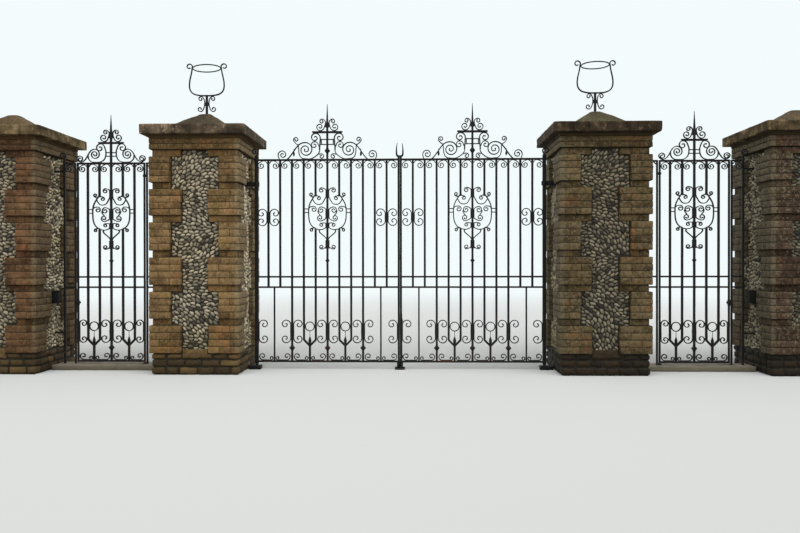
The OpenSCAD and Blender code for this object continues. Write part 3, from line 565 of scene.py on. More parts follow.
def knop(work, x, z, r):
    """A turned knop with two fillets."""
    half = [(0.97, 0.16), (0.85, 0.34), (0.62, 0.50), (0.50, 0.60), (0.60, 0.64), (0.60, 0.74), (0.52, 0.80)]
    shape = [*((a, -b) for a, b in reversed(half)), (1.0, 0.0), *half]
    turned(work, [(r * a, z + r * b) for a, b in shape], x=x, sides=24)


def forged_point(work, x, z, w, length):
    """A square bar drawn down to a point."""
    n = 7
    points = [complex(x, z + length * i / n) for i in range(n + 1)]
    forged(work, points, w, w * 0.22, w, w * 0.22, edge=1.6, wave=0.3)


def fork(work, x, bay):
    """Two bars that bend together and join to one stem."""
    shape = [complex(bay / 2, BEND_Z + 40), complex(bay / 2, BEND_Z + 8), complex(bay / 2 - 1.5, BEND_Z - 1),
             complex(bay / 4, (BEND_Z + FORK_Z) / 2), complex(1.5, FORK_Z + 2), complex(0, FORK_Z - 6),
             complex(0, FORK_Z - 30)]
    for p in (flip(shape), shape):
        forged(work, shift(p, x), BAR_W, depth=BAR_W, edge=1.8)
    upright_bar(work, x, BOTTOM_RAIL_Z, FORK_Z)


def hanging_scroll(work, x, bay, flipped, rail_z=TOP_RAIL_Z):
    """A scroll under the top rail: its leaf starts at the far bar, and it curls by the near one."""
    z = rail_z - RAIL_H / 2
    h = bay / 2 - BAR_W / 2
    eye = complex(-h + HANG_R + STRIP_W / 2 - BITE, z - HANG_DROP + HANG_R + STRIP_W / 2)
    p = scroll(complex(h - BITE, z - 30), 110, eye, HANG_R, 130, 450, 0.5)
    scroll_strip(work, shift(flip(p) if flipped else p, x), STRIP_W * 0.8, STRIP_W)


def c_scroll(work, x, z0, z1, depth, facing):
    """A C scroll with its back at x, between two heights, opening to the right where facing is 1."""
    r = min(0.55 * depth, (z1 - z0) / 4 + STRIP_W)
    rise = r - (r - INNER_R) * 90 / 410
    top = complex(STRIP_W / 2 + r, z1 - STRIP_W / 2 - rise)
    low = complex(STRIP_W / 2 + r, z0 + STRIP_W / 2 + rise)
    p = double_scroll(top, r, 180, -410, low, r, 180, 410)
    double_strip(work, shift(p if facing > 0 else flip(p), x))


def rail_scroll(work, x, span, thick, stem, facing):
    """A low scroll on the bottom rail, between a thick bar at x and a stem at the span's end."""
    z = BOTTOM_RAIL_Z + RAIL_H / 2
    big, small = 43, 23
    a = complex(thick / 2 + STRIP_W / 2 + big, z + STRIP_W / 2 + big)
    b = complex(span - stem / 2 - STRIP_W / 2 - small, z + STRIP_W / 2 + small)
    p = double_scroll(a, big, 270, -390, b, small, 270, 300)
    double_strip(work, shift(p if facing > 0 else flip(p), x))


def low_arch(work, x, bay):
    """The ring between a fork's bars, and the bud and stem under it."""
    r = bay / 2 - BAR_W / 2 - STRIP_W / 2
    ring = [complex(x, ARCH_Z) + polar(r, 360 * i / 36 - 90) for i in range(37)]
    forged(work, ring, edge=1.6)
    bud(work, x, FORK_Z + 0.7 * BAR_W, BEND_Z + 48, 36)
    upright_bar(work, x, BEND_Z + 40, ARCH_Z - r, 6)


def cross_bar(work, x, half, z):
    """The moulded bar across a cresting."""
    rail(work, x - half, x + half, z + 1.5, 15, IRON_DEPTH + 12)
    rail(work, x - half + 9, x + half - 9, z - 9.5, 9, IRON_DEPTH + 6)


# The main leaves, drawn about the centre bar with the hinge stile on the left


def bar_x(i):
    """Where bar i stands, from 0 at the hinge to 12 at the meeting stile."""
    return (i - MAIN_BAYS / 2) * MAIN_BAY


def draw_heel_stile():
    """The hinge stile with its journal, the pin at its heel and the scroll on its top."""
    work = Work()
    x = -LEAF_HALF
    journal_z = TOP_HINGE_Z - 32
    journal_top = journal_z + 64
    upright_bar(work, x, STILE_FOOT_Z, journal_z, HEEL_W, edge=3)
    rod(work, 19, journal_z, journal_top, x=x, sides=32)
    upright_bar(work, x, journal_top, STILE_TOP_Z, HEEL_W, edge=3)
    rod(work, 15, 12.3, STILE_FOOT_Z + 1, x=x, sides=32)
    p = scroll(complex(2, STILE_TOP_Z - 4), 90, complex(-20, STILE_TOP_Z + 46), 38, 10, 420)
    scroll_strip(work, shift(p, x), 16, STRIP_W)
    for z in (LOWER_MID_Z, UPPER_MID_Z, TOP_RAIL_Z, BOTTOM_RAIL_Z):
        for s in (-1, 1):
            stud(work, x, s * HEEL_W / 2, z, 7, s * 4)
    return work


def bolt_guides(work):
    """Two square loops on the front of the meeting stile, for the drop bolt."""
    x = LEAF_HALF - 6
    back = -IRON_DEPTH / 2
    sides = (((-15, -45), (-10, back)), ((10, -45), (15, back)),
             ((-15, -45), (15, -40)), ((-15, -20), (15, back)))
    for z in (150, 560):
        for lo, hi in sides:
            block(work, (x + lo[0], lo[1], z - 15), (x + hi[0], hi[1], z + 15), 1.2)


def draw_main_frame(with_guides):
    """The bars, rails, meeting stile, knops and point of a main leaf."""
    work = Work()
    for i in (1, 2, 10, 11):
        upright_bar(work, bar_x(i), LOWER_MID_Z, TOP_RAIL_Z)
    for i in (3, 9):
        upright_bar(work, bar_x(i), BOTTOM_RAIL_Z, TOP_RAIL_Z)
    for i in (4, 8):
        upright_bar(work, bar_x(i), BEND_Z + 20, TOP_RAIL_Z)
    for i in (5, 7):
        upright_bar(work, bar_x(i), BEND_Z + 20, LYRE_Z - LYRE_FOOT)
        upright_bar(work, bar_x(i), LYRE_Z + LYRE_TOP, TOP_RAIL_Z)
    upright_bar(work, bar_x(6), BOTTOM_RAIL_Z, MAIN_TIP_Z - POINT_L)
    for i in (1.5, 10.5):
        upright_bar(work, bar_x(i), BOTTOM_RAIL_Z, LOWER_MID_Z, SLIM_W)
    for i in (4.5, 7.5):
        fork(work, bar_x(i), MAIN_BAY)
    upright_bar(work, LEAF_HALF + 1.1, STILE_FOOT_Z, STILE_TOP_Z, MEETING_W + 2.2, edge=1.2)
    for z in (BOTTOM_RAIL_Z, LOWER_MID_Z, UPPER_MID_Z, TOP_RAIL_Z):
        rail(work, -LEAF_HALF + HEEL_W / 2, LEAF_HALF + MEETING_W / 2 - 2, z)
    for i in (3, 6, 9):
        knop(work, bar_x(i), KNOP_Z, KNOP_R)
    knop(work, bar_x(6), SMALL_KNOP_Z, SMALL_KNOP_R)
    knop(work, bar_x(6), TOP_RAIL_Z + 104, KNOP_R)
    forged_point(work, bar_x(6), MAIN_TIP_Z - POINT_L, BAR_W, POINT_L)
    for i in range(1, MAIN_BAYS):
        for z in (LOWER_MID_Z, UPPER_MID_Z, TOP_RAIL_Z):
            for s in (-1, 1):
                stud(work, bar_x(i), s * RAIL_DEPTH / 2, z, 4.5, s * 2.5)
    if with_guides:
        bolt_guides(work)
    return work


# Bays whose hanging scroll curls by the bar on their right
RIGHT_HAND_BAYS = (2, 7, 8, 9, 10, 12)


def draw_bay_scrolls():
    """The hanging scroll of every bay, and the C scrolls on both sides of the first and last bars."""
    work = Work()
    depth = MAIN_BAY - BAR_W - 4
    for i in range(1, MAIN_BAYS + 1):
        hanging_scroll(work, bar_x(i - 0.5), MAIN_BAY, i in RIGHT_HAND_BAYS)
    z0, z1 = SIDE_C_Z
    for i in (1, 11):
        for s in (-1, 1):
            c_scroll(work, bar_x(i) + s * BAR_W / 2, z0, z1, depth, s)
        collar(work, bar_x(i), (z0 + z1) / 2 - 16, (z0 + z1) / 2 + 16, BAR_W + 2 * COLLAR_OUT)
    return work


def draw_lyre(bay, mid_z):
    """The lyre round a centre bar. Widths are in bays, heights from its middle."""
    work = Work()
    r = bay * 0.2

    def at(x, z):
        return complex(x * bay, mid_z + z)

    def curls(p, w0=STRIP_W):
        both(scroll_strip, work, p, w0)

    def strap(p, w0=STRIP_W):
        both(forged, work, p, w0, STRIP_W)

    # Curls at the head, and the swag from its collar to the end of the next bar
    curls(scroll(at(0.06, 222), 80, at(0.50, 238), r * 1.05, 100, -400))
    strap(joined(sweep_to(at(0.06, 170), -50, at(0.74, 74), 0, 0.45),
                 sweep_to(at(0.74, 74), 0, at(1.26, 136), 58, 0.45)))
    # Curl inside the swag, and the small leaf that turns up outside
    curls(scroll(at(1.02, 180), 150, at(0.74, 146), r * 0.85, 90, 360))
    curls(scroll(at(1.12, 164), -30, at(1.36, 190), r * 0.7, -60, 300), LEAF_W)
    # Oval side
    strap(joined(sweep_to(at(1.0, 196), -60, at(1.59, 0), -90, 0.42),
                 sweep_to(at(1.59, 0), -90, at(0.92, -210), 200, 0.42),
                 sweep_to(at(0.92, -210), 200, at(0.05, -186), 140)), LONG_W)
    # Small leaf that turns down outside
    curls(scroll(at(1.0, -200), 20, at(1.34, -222), r * 0.62, 80, -300), LEAF_W)
    # Upper curls, against the oval and against the centre bar
    curls(scroll(at(1.55, 30), 105, at(1.16, 18), r * 1.25, 80, 400))
    curls(scroll(at(0.06, -2), 70, at(0.53, 8), r * 1.35, 100, -420))
    # Lower curls, and the strap that joins them
    curls(scroll(at(0.06, -76), -50, at(0.62, -82), r * 1.35, 250, 430))
    strap(sweep_to(at(0.80, 4), -80, at(0.60, -52), -130))
    curls(scroll(at(0.06, -150), 40, at(0.50, -164), r * 0.8, 90, -330))
    # Straps to the foot, and the curls there
    strap(sweep_to(at(0.64, -222), -35, at(0.08, -346), -70, 0.35), LONG_W)
    curls(scroll(at(0.06, -404), -60, at(0.50, -418), r * 0.95, 250, 400))
    # Ties to the next bar but one
    for z in (-20, 22):
        both(forged, work, along(1.56 * bay, mid_z + z, 2.0 * bay, mid_z + z))
    w = BAR_W + 2 * COLLAR_OUT
    for z0, z1, cut in ((160, 238, 4), (-80, 6, 0), (-192, -148, 0), (-438, -342, 0)):
        collar(work, 0, mid_z + z0, mid_z + z1, w - cut)
    return work


def draw_crest_head(work, bay, z):
    """The double scrolls that stand on a cross bar."""
    both(double_strip, work, double_scroll(complex(0.62 * bay, z + 60), bay * 0.36, 200, 470,
                                           complex(0.46 * bay, z + 122), bay * 0.2, 110, -330, 0.5))


def draw_main_cresting():
    """The overthrow of a main leaf. Widths are in bays, heights from the top rail."""
    work = Work()
    b = MAIN_BAY

    def at(x, z):
        return complex(x * b, TOP_RAIL_Z + z)

    def curls(p, w0=STRIP_W):
        both(scroll_strip, work, p, w0)

    # Outer scroll, and the long scroll from the rail up into the volute
    curls(scroll(at(4.07, 0), 86, at(3.79, 61), 0.385 * b, -20, 500))
    curls(scroll(at(3.46, 0), 142, at(1.84, 118), 0.60 * b, 100, 640), LONG_W)
    # Curl that grows out of its shoulder
    curls(scroll(at(2.42, 174), 10, at(2.64, 234), 0.23 * b, -40, 400))
    # Enclosing scroll, from the shoulder under the volute and up into its curl
    curls(joined(sweep_to(at(2.44, 160), -95, at(2.05, 15), 200),
                 sweep_to(at(2.05, 15), 180, at(1.2, 24), 150),
                 sweep_to(at(1.2, 24), 150, at(0.64, 130), 85),
                 scroll(at(0.64, 130), 92, at(1.10, 170), 0.34 * b, 170, -450)))
    # Upper scroll, from the strap up to the curl under the cross bar
    curls(scroll(at(0.67, 116), 98, at(1.03, 256), 0.44 * b, 185, -480), LEAF_W)
    # Curl at the foot of the centre bar
    curls(scroll(at(0.84, 62), 160, at(0.5, 40), 0.22 * b, 80, 360))
    # Square ties to the centre bar
    for z in (178, 236):
        both(forged, work, [at(0, z), at(0.56, z)])
    both(forged, work, [at(0.5, 176), at(0.5, 238)])
    # Buds under the shoulders
    for s in (-1, 1):
        bud(work, s * 2.83 * b, TOP_RAIL_Z + 40, TOP_RAIL_Z + 108, 24)
        upright_bar(work, s * 2.83 * b, TOP_RAIL_Z + 100, TOP_RAIL_Z + 128, 6)
    draw_crest_head(work, b, MAIN_CROSS_Z)
    # Half a tulip on the meeting stile
    foot = complex(LEAF_HALF, STILE_TOP_Z)
    forged(work, joined(sweep_to(foot + 4 - 12j, 172, foot - 23 + 36j, 92, 0.5),
                        sweep_to(foot - 23 + 36j, 92, foot - 14 + 142j, 80)), 25, 6)
    collar(work, 0, MAIN_CROSS_Z + 54, MAIN_TIP_Z - POINT_L - 6, BAR_W + 2 * COLLAR_OUT)
    cross_bar(work, 0, 1.28 * b, MAIN_CROSS_Z)
    return work


# Low scrolls of a main leaf: the bar each starts on, the stem it ends by, and how wide the bar is
LOW_SPANS = ((0, 1.5, HEEL_W), (3, 1.5, BAR_W), (3, 4.5, BAR_W), (6, 4.5, BAR_W),
             (6, 7.5, BAR_W), (9, 7.5, BAR_W), (9, 10.5, BAR_W), (12, 10.5, MEETING_W))


def draw_lower_scrolls():
    """The scrolls, rings and buds between the bottom rail and the lower middle rail."""
    work = Work()
    depth = MAIN_BAY - BAR_W - 6
    z0, z1 = LOW_C_Z
    for start, end, thick in LOW_SPANS:
        stem = SLIM_W if abs(end - 6) > 4 else BAR_W
        facing = 1 if end > start else -1
        rail_scroll(work, bar_x(start), 1.5 * MAIN_BAY, thick, stem, facing)
        c_scroll(work, bar_x(start) + facing * thick / 2, z0, z1, depth, facing)
    for i in (4.5, 7.5):
        low_arch(work, bar_x(i), MAIN_BAY)
    for i in (3, 6, 9):
        collar(work, bar_x(i), (z0 + z1) / 2 - 14, (z0 + z1) / 2 + 14, BAR_W + 2 * COLLAR_OUT)
    return work


# The side gates, drawn about the centre bar with the hinge stile on the left


def draw_side_stile():
    """The hinge stile with its journal and the pin under it."""
    work = Work()
    x = -SIDE_STILE_X
    journal_z = SIDE_HINGE_Z - 20
    journal_top = journal_z + 40
    upright_bar(work, x, SIDE_FOOT_Z, journal_z, POST_W)
    rod(work, 9.5, journal_z, journal_top, x=x)
    upright_bar(work, x, journal_top, SIDE_RAIL_TOP, POST_W)
    rod(work, 7, SILL_H + 2.3, SIDE_FOOT_Z + 1, x=x)
    return work


def draw_side_frame():
    """The bars, rails, latch stile, knops, point and latch of a side leaf."""
    work = Work()
    b = SIDE_BAY
    upright_bar(work, 0, BOTTOM_RAIL_Z, SIDE_TIP_Z - POINT_L)
    for s in (-1, 1):
        upright_bar(work, s * 2 * b, BEND_Z + 20, SIDE_RAIL_Z)
        upright_bar(work, s * b, BEND_Z + 20, SIDE_LYRE_Z - LYRE_FOOT)
        upright_bar(work, s * b, SIDE_LYRE_Z + LYRE_TOP, SIDE_RAIL_Z)
        fork(work, s * 1.5 * b, b)
    upright_bar(work, SIDE_STILE_X, SIDE_FOOT_Z, SIDE_RAIL_TOP, POST_W)
    for z in (BOTTOM_RAIL_Z, LOWER_MID_Z, UPPER_MID_Z, SIDE_RAIL_Z):
        rail(work, -SIDE_STILE_X + POST_W / 2, SIDE_STILE_X, z)
        for i in (-2, -1, 0, 1, 2):
            for s in (-1, 1):
                stud(work, i * b, s * RAIL_DEPTH / 2, z, 4.5, s * 2.5)
    knop(work, 0, KNOP_Z, KNOP_R)
    knop(work, 0, SMALL_KNOP_Z, SMALL_KNOP_R)
    forged_point(work, 0, SIDE_TIP_Z - POINT_L, BAR_W, POINT_L)
    # Latch: a spindle with a knob each side, on a small plate
    rod(work, 7, -30, 30, x=SIDE_STILE_X, z=LATCH_Z, axis="y")
    for s in (-1, 1):
        rod(work, 15, s * 34 - 8, s * 34 + 8, x=SIDE_STILE_X, z=LATCH_Z, axis="y", edge=5)
        block(work, (SIDE_STILE_X - 12, s * 11.5 - 1.5, LATCH_Z - 34),
              (SIDE_STILE_X + 12, s * 11.5 + 1.5, LATCH_Z + 34), 1.2)
    return work


def draw_side_cresting():
    """The overthrow of a side leaf. Widths are in bays, heights from its top rail."""
    work = Work()
    b = SIDE_BAY

    def at(x, z):
        return complex(x * b, SIDE_RAIL_Z + z)

    # Outer scroll that runs along the rail and up into the volute
    both(double_strip, work, joined(curl(at(2.66, 54), 0.28 * b, INNER_R, 20, 440)[::-1],
                                    sweep_to(at(2.93, 67), 280, at(2.6, 17), 185),
                                    scroll(at(2.6, 17), 175, at(1.40, 106), 0.44 * b, 90, 620)))
    # Enclosing scroll, from the shoulder under the volute up to the curl under the cross bar
    both(scroll_strip, work, joined(sweep_to(at(1.96, 96), -80, at(1.5, 15), 180),
                                    sweep_to(at(1.5, 15), 180, at(0.9, 18), 165),
                                    sweep_to(at(0.9, 18), 165, at(0.44, 128), 88),
                                    scroll(at(0.44, 128), 92, at(0.95, 180), 0.40 * b, 165, -460)))
    for z in (84, 126):
        both(forged, work, [at(0, z), at(0.48, z)])
    draw_crest_head(work, b, SIDE_CROSS_Z)
    collar(work, 0, SIDE_CROSS_Z + 54, SIDE_TIP_Z - POINT_L - 6, BAR_W + 2 * COLLAR_OUT)
    cross_bar(work, 0, 1.08 * b, SIDE_CROSS_Z)
    return work


def draw_side_scrolls():
    """The hanging scrolls of a side leaf, and the scrolls and rings of its lower panel."""
    work = Work()
    b = SIDE_BAY
    depth = b - BAR_W - 6
    z0, z1 = LOW_C_Z
    last = SIDE_STILE_X - 2 * b
    for s in (-1, 1):
        hanging_scroll(work, s * 0.5 * b, b, s > 0, SIDE_RAIL_Z)
        hanging_scroll(work, s * 1.5 * b, b, s < 0, SIDE_RAIL_Z)
        hanging_scroll(work, s * (2 * b + last / 2), last, s > 0, SIDE_RAIL_Z)
        low_arch(work, s * 1.5 * b, b)
        rail_scroll(work, 0, 1.5 * b, BAR_W, BAR_W, s)
        rail_scroll(work, s * SIDE_STILE_X, SIDE_STILE_X - 1.5 * b, POST_W, BAR_W, -s)
        c_scroll(work, s * (SIDE_STILE_X - POST_W / 2), z0, z1, depth - SIDE_AXIS_IN, -s)
        c_scroll(work, s * BAR_W / 2, z0, z1, depth, s)
    collar(work, 0, (z0 + z1) / 2 - 14, (z0 + z1) / 2 + 14, BAR_W + 2 * COLLAR_OUT)
    return work


def draw_jambs():
    """The fixed posts beside a side leaf, with their rails, lugs and scrolls."""
    work = Work()
    post_top = SIDE_RAIL_TOP + 40
    bay = WALL_POST_X - JAMB_POST_X
    for s in (-1, 1):
        upright_bar(work, s * WALL_POST_X, SILL_H, post_top, BAR_W)
        upright_bar(work, s * JAMB_POST_X, SILL_H, SIDE_RAIL_TOP, POST_W)
        for z in (LOWER_MID_Z, UPPER_MID_Z, SIDE_RAIL_Z):
            rail(work, s * JAMB_POST_X, s * WALL_POST_X, z, depth=BAR_W)
        for z in (420, 2300):
            rail(work, s * WALL_POST_X, s * (SIDE_OPENING / 2 + FLINT_DEPTH), z, 20, depth=BAR_W)
        hanging_scroll(work, s * (WALL_POST_X + JAMB_POST_X) / 2, bay + 2, s > 0, SIDE_RAIL_Z)
        foot = complex(WALL_POST_X - 2, post_top - 4)
        p = scroll(foot, 90, complex(WALL_POST_X + 22, post_top + 44), 36, 170, -420)
        scroll_strip(work, p if s > 0 else flip(p), LEAF_W)
    return work


# Fixed irons


def draw_cradle():
    """The stem and arms of a lantern cradle about its pier's axis, from the cap's top up."""
    work = Work()
    half = CRADLE_W / 2 - ARM_T / 2
    elbow = complex(half, STEM_H + 112)
    neck = complex(HOOP_D / 2 + HOOP_T / 2 + ARM_T / 2 - 1, HOOP_Z)
    top = complex(neck.real - 4, ARM_TOP_Z - ARM_T / 2 - ARM_CURL_R)
    upright_bar(work, 0, 0.5, STEM_H + ARM_T / 2, STEM_T)
    arm = joined(bezier(complex(0, STEM_H), complex(half * 0.55, STEM_H), complex(half * 0.98, STEM_H + 8),
                        elbow, 16),
                 sweep_to(elbow, 90, neck, 95),
                 sweep_to(neck, 95, top, 90),
                 curl(top + ARM_CURL_R, ARM_CURL_R, 17, 180, -300))
    both(scroll_strip, work, arm, ARM_T, ARM_T * 0.7, ARM_T)
    # Scroll whose back runs up the stem, from the low curl to the one under the arms
    double = double_scroll(77 + 64j, 33, 215, 330, complex(70, STEM_H - 37), 29, 125, -330, 0.32)
    both(double_strip, work, double, ARM_T)
    collar(work, 0, STEM_H - 116, STEM_H - 80, STEM_T + 2 * STRIP_W + 8, STEM_T + 4)
    return work


def draw_hoop():
    """The hoop of a lantern cradle about its own middle, with the stubs that join it to the arms."""
    hoop = Work()
    turns = np.linspace(0, 2 * math.pi, 12, endpoint=False)
    turned(hoop, [(HOOP_D / 2 + HOOP_T / 2 * math.cos(a), HOOP_T / 2 * math.sin(a)) for a in turns], sides=72,
           closed=True)
    stub = (HOOP_T + ARM_T) / 2
    for s in (-1, 1):
        x = s * (HOOP_D / 2 + stub / 2)
        block(hoop, (x - stub / 2, -4.5, -4.5), (x + stub / 2, 4.5, 4.5), 1)
    return hoop


def draw_hinge_irons():
    """The top collar with its anchor, and the shoe, about a right hand leaf's hinge axis."""
    work = Work()
    z = TOP_HINGE_Z
    to_flint = HINGE_OFFSET + FLINT_DEPTH
    to_footing = HINGE_OFFSET + FOOTING_BACK
    ring_of(work, 19.3, 33, z - 25, z + 25)
    block(work, (24, -15, z - 25), (to_flint - 6, 15, z + 25), 2)
    block(work, (to_flint - 12, -60, z - 55), (to_flint, 60, z + 55), 2.5, wear=0.5)
    for y in (-40, 40):
        for dz in (-36, 36):
            stud(work, to_flint - 12, y, z + dz, 11, -7, axis="x")
    # Shoe: four sides round the pin, and the tail that runs back to the footing
    ring_of(work, 15.3, 50, 0.5, 46, edge=3)
    block(work, (-52, -52, 0.5), (-34, 52, 43), 3, wear=0.6)
    block(work, (30, -52, 0.5), (to_footing, 52, 46), 4, wear=0.8)
    for s in (-1, 1):
        block(work, (-50, s * 34, 0.5), (40, s * 52, 45), 3, wear=0.6)
    return work


def draw_side_hinges():
    """The top collar and the bottom cup of a side leaf, about the middle of its gate."""
    work = Work()
    x = -SIDE_STILE_X
    reach = JAMB_POST_X - POST_W / 2 - SIDE_STILE_X
    ring_of(work, 9.8, 18, SIDE_HINGE_Z - 15, SIDE_HINGE_Z + 15, x=x)
    block(work, (x - reach, -15, SIDE_HINGE_Z - 15), (x - 12, 15, SIDE_HINGE_Z + 15), 1.5)
    ring_of(work, 7.3, 18, SILL_H, SILL_H + 14, x=x)
    for s in (-1, 1):
        block(work, (x - 30, s * 22 - 8, SILL_H), (x + 18, s * 22 + 8, SILL_H + 7), 1.5)
    return work


def draw_gate_stop():
    """The plate on the ground, and the lip that the meeting stiles close against."""
    work = Work()
    half = 58.5
    front, lip, back = -50, 24, 38
    block(work, (-half, front, 0.3), (half, back, 12), 2.5, (6, 5, 2), wear=0.6)
    block(work, (-half, lip, 0.3), (half, back, 26), 4, (6, 2, 2), wear=0.8)
    block(work, (-36, lip, 10), (36, back, BOTTOM_RAIL_Z), 6, (4, 2, 4), wear=0.8)
    for x in (-42, 42):
        turned(work, [(9, 0), (8.5, 2.5), (5, 4), (1, 4.5)], x, -30, 12, sides=14)
    return work


def draw_drop_bolt():
    """The bolt with its stop block, and the knob that lifts it."""
    work = Work()
    x = MEETING_GAP + MEETING_W / 2 + 6
    y = -(RAIL_DEPTH / 2 + BOLT_W / 2 + 3)
    upright_bar(work, x, 18, 640, BOLT_W, y=y)
    block(work, (x - 11, y - 15, 575.3), (x + 11, y + 9, 591.3), 2)
    rod(work, 6, 8, 30, x=x, y=y, z=600, axis="y")
    turned(work, [(6, 28), (9, 31), (10.5, 36), (9, 41), (3, 43)], x, y, 600, "y", 16)
    return work


# Masonry

# A vertex's kind says what it belongs to: 0 is mortar. On a cap it says how far up its top it lies.
BRICK = 1.0
FLINT = 1.0
RECESSED_BRICK = 1.25
FOOTING_STONE = 2.0
PANEL_STONE = 3.0

# Joints, how far the mortar stands back from the faces, and the play of the bricks' hidden ends
JOINT = 5
UPRIGHT_JOINT = 2
MORTAR_BACK = 5
MORTAR_END = 13
TOOTHED = 12
BRICK_WIDTH = 110
BRICK_LENGTH = 229

# Flints: their bed, how far they stand from it, their outline, the mortar round them and their field
FLINT_BED = 54
FLINT_PROUD = 9.0
FLINT_SIDES = 8
FLINT_REACH = 39
FLINT_PITCH = 47
FLINT_GAP = 2.6
NEIGHBOURS = 120
FLINT_LONG = 1.36
FLINT_SHORT = 0.71
FIELD_EDGE = 30
SETTLING = 24

# Cosine and sine of the turn of each face of a pier, from the front round by the right
FACE_TURNS = ((1, 0), (0, 1), (-1, 0), (0, -1))

# Lumps on the caps, and the parts of a cap's side
LUMP = 3.0
CAP_PARTS = 36


def block_x(row):
    """Length across X of the corner blocks of a row."""
    return QUOIN_LONG if row % 2 == 0 else QUOIN_SHORT


def block_y(row):
    """Length across Y of the corner blocks of a row."""
    return QUOIN_SHORT if row % 2 == 0 else QUOIN_LONG


def bond(wx, wy, parity):
    """Bricks of one course of a corner block, as rectangles from the outer corner inwards."""
    w = BRICK_WIDTH
    turned_round = wy > wx
    a, b = (wy, wx) if turned_round else (wx, wy)
    if parity:
        rects = [(0, w, 0, b), (w, a, 0, w)]
    else:
        rects = [(0, BRICK_LENGTH, 0, w), (BRICK_LENGTH, a, 0, w), (0, w, w, b)]
    if turned_round:
        rects = [(v0, v1, u0, u1) for u0, u1, v0, v1 in rects]
    return rects


def lay_course(work, x0, z0, z1, wx, wy, back, parity, rng):
    """One course of the four corner blocks of a pier, its face set back from the quoins' face."""
    half = PIER_W / 2 - back
    face = half - MORTAR_BACK
    gap = UPRIGHT_JOINT / 2
    kind = RECESSED_BRICK if back else BRICK
    for sx in (-1, 1):
        for sy in (-1, 1):
            for u0, u1, v0, v1 in bond(wx - back, wy - back, parity):
                u0 += gap if u0 else 0
                v0 += gap if v0 else 0
                u1 -= gap if u1 < wx - back - 1 else TOOTHED * rng.random()
                v1 -= gap if v1 < wy - back - 1 else TOOTHED * rng.random()
                worn = 0.5 + 0.9 * rng.random()
                slip = rng.normal(0, 0.7, 3)
                near = np.array((x0 + sx * (half - u0), sy * (half - v0), z0 + JOINT / 2)) + slip
                far = np.array((x0 + sx * (half - u1), sy * (half - v1), z1 - JOINT / 2)) + slip
                parts = (4, 2, 2) if u1 - u0 > v1 - v0 else (2, 4, 2)
                block(work, near, far, 3.5 + 2 * rng.random(), parts, worn, 38, int(rng.integers(1000)),
                      rng.random(), kind)
            block(work, (x0 + sx * face, sy * face, z0),
                  (x0 + sx * (PIER_W / 2 - wx + MORTAR_END), sy * (PIER_W / 2 - wy + MORTAR_END), z1), 2,
                  tone=rng.random())


def lay_ring(work, x0, half, z0, z1, length, kind, rng, edge, wear, deep=BRICK_WIDTH):
    """A course of long bricks or stones right round a pier."""
    for face in range(4):
        along_x = face % 2 == 0
        s = 1 if face < 2 else -1
        end = half if along_x else half - deep - JOINT / 2
        cuts = [-end]
        while end - cuts[-1] > length * 1.5:
            cuts.append(cuts[-1] + length * (0.75 + 0.5 * rng.random()))
        cuts.append(end)
        for a, b in zip(cuts[:-1], cuts[1:]):
            a += JOINT / 2 if a > -end else 0
            b -= JOINT / 2 if b < end else 0
            out = half + rng.normal(0, 1.0)
            near, far = s * (out - deep), s * out
            lo, hi = ((a, near), (b, far)) if along_x else ((near, a), (far, b))
            block(work, (x0 + lo[0], lo[1], z0 + JOINT / 2), (x0 + hi[0], hi[1], z1 - JOINT / 2), edge,
                  (4, 2, 2) if along_x else (2, 4, 2), wear, 45, int(rng.integers(1000)), rng.random(), kind)
    bed = half - MORTAR_BACK - 1.8 * wear
    block(work, (x0 - bed, -bed, z0), (x0 + bed, bed, z1), 2)


def draw_quoins(x0, seed):
    """The stepped corner blocks, the recessed courses between them and the necking."""
    work = Work()
    rng = np.random.default_rng(seed)
    for row, quoin_h in enumerate(QUOIN_HEIGHTS):
        z = ROW_Z[row]
        course = quoin_h / 4
        for k in range(4):
            lay_course(work, x0, z + k * course, z + (k + 1) * course, block_x(row), block_y(row), 0,
                       k % 2, rng)
        lay_course(work, x0, z + quoin_h, ROW_Z[row + 1], block_x(row + 1), block_y(row + 1), RECESS_DEPTH,
                   row % 2, rng)
    # The necking: two courses of long bricks round a solid middle
    half = PIER_W / 2
    for z0, z1 in ((QUOIN_TOP + 2, QUOIN_TOP + 66), (QUOIN_TOP + 66, CAP_Z - 1)):
        lay_ring(work, x0, half - 1, z0, z1, 440, BRICK, rng, 5, 1.4)
    middle = half - 14
    block(work, (x0 - middle, -middle, QUOIN_TOP), (x0 + middle, middle, CAP_Z), 2)
    return work


def drawn_out(lean):
    """Matrices that draw a circle out along each lean, in degrees from level."""
    a = np.radians(np.asarray(lean, float))
    c, s = np.cos(a), np.sin(a)
    turn = np.stack([np.stack([c, -s], -1), np.stack([s, c], -1)], -2)
    return turn @ np.diag([FLINT_LONG, FLINT_SHORT]) @ np.swapaxes(turn, -1, -2)


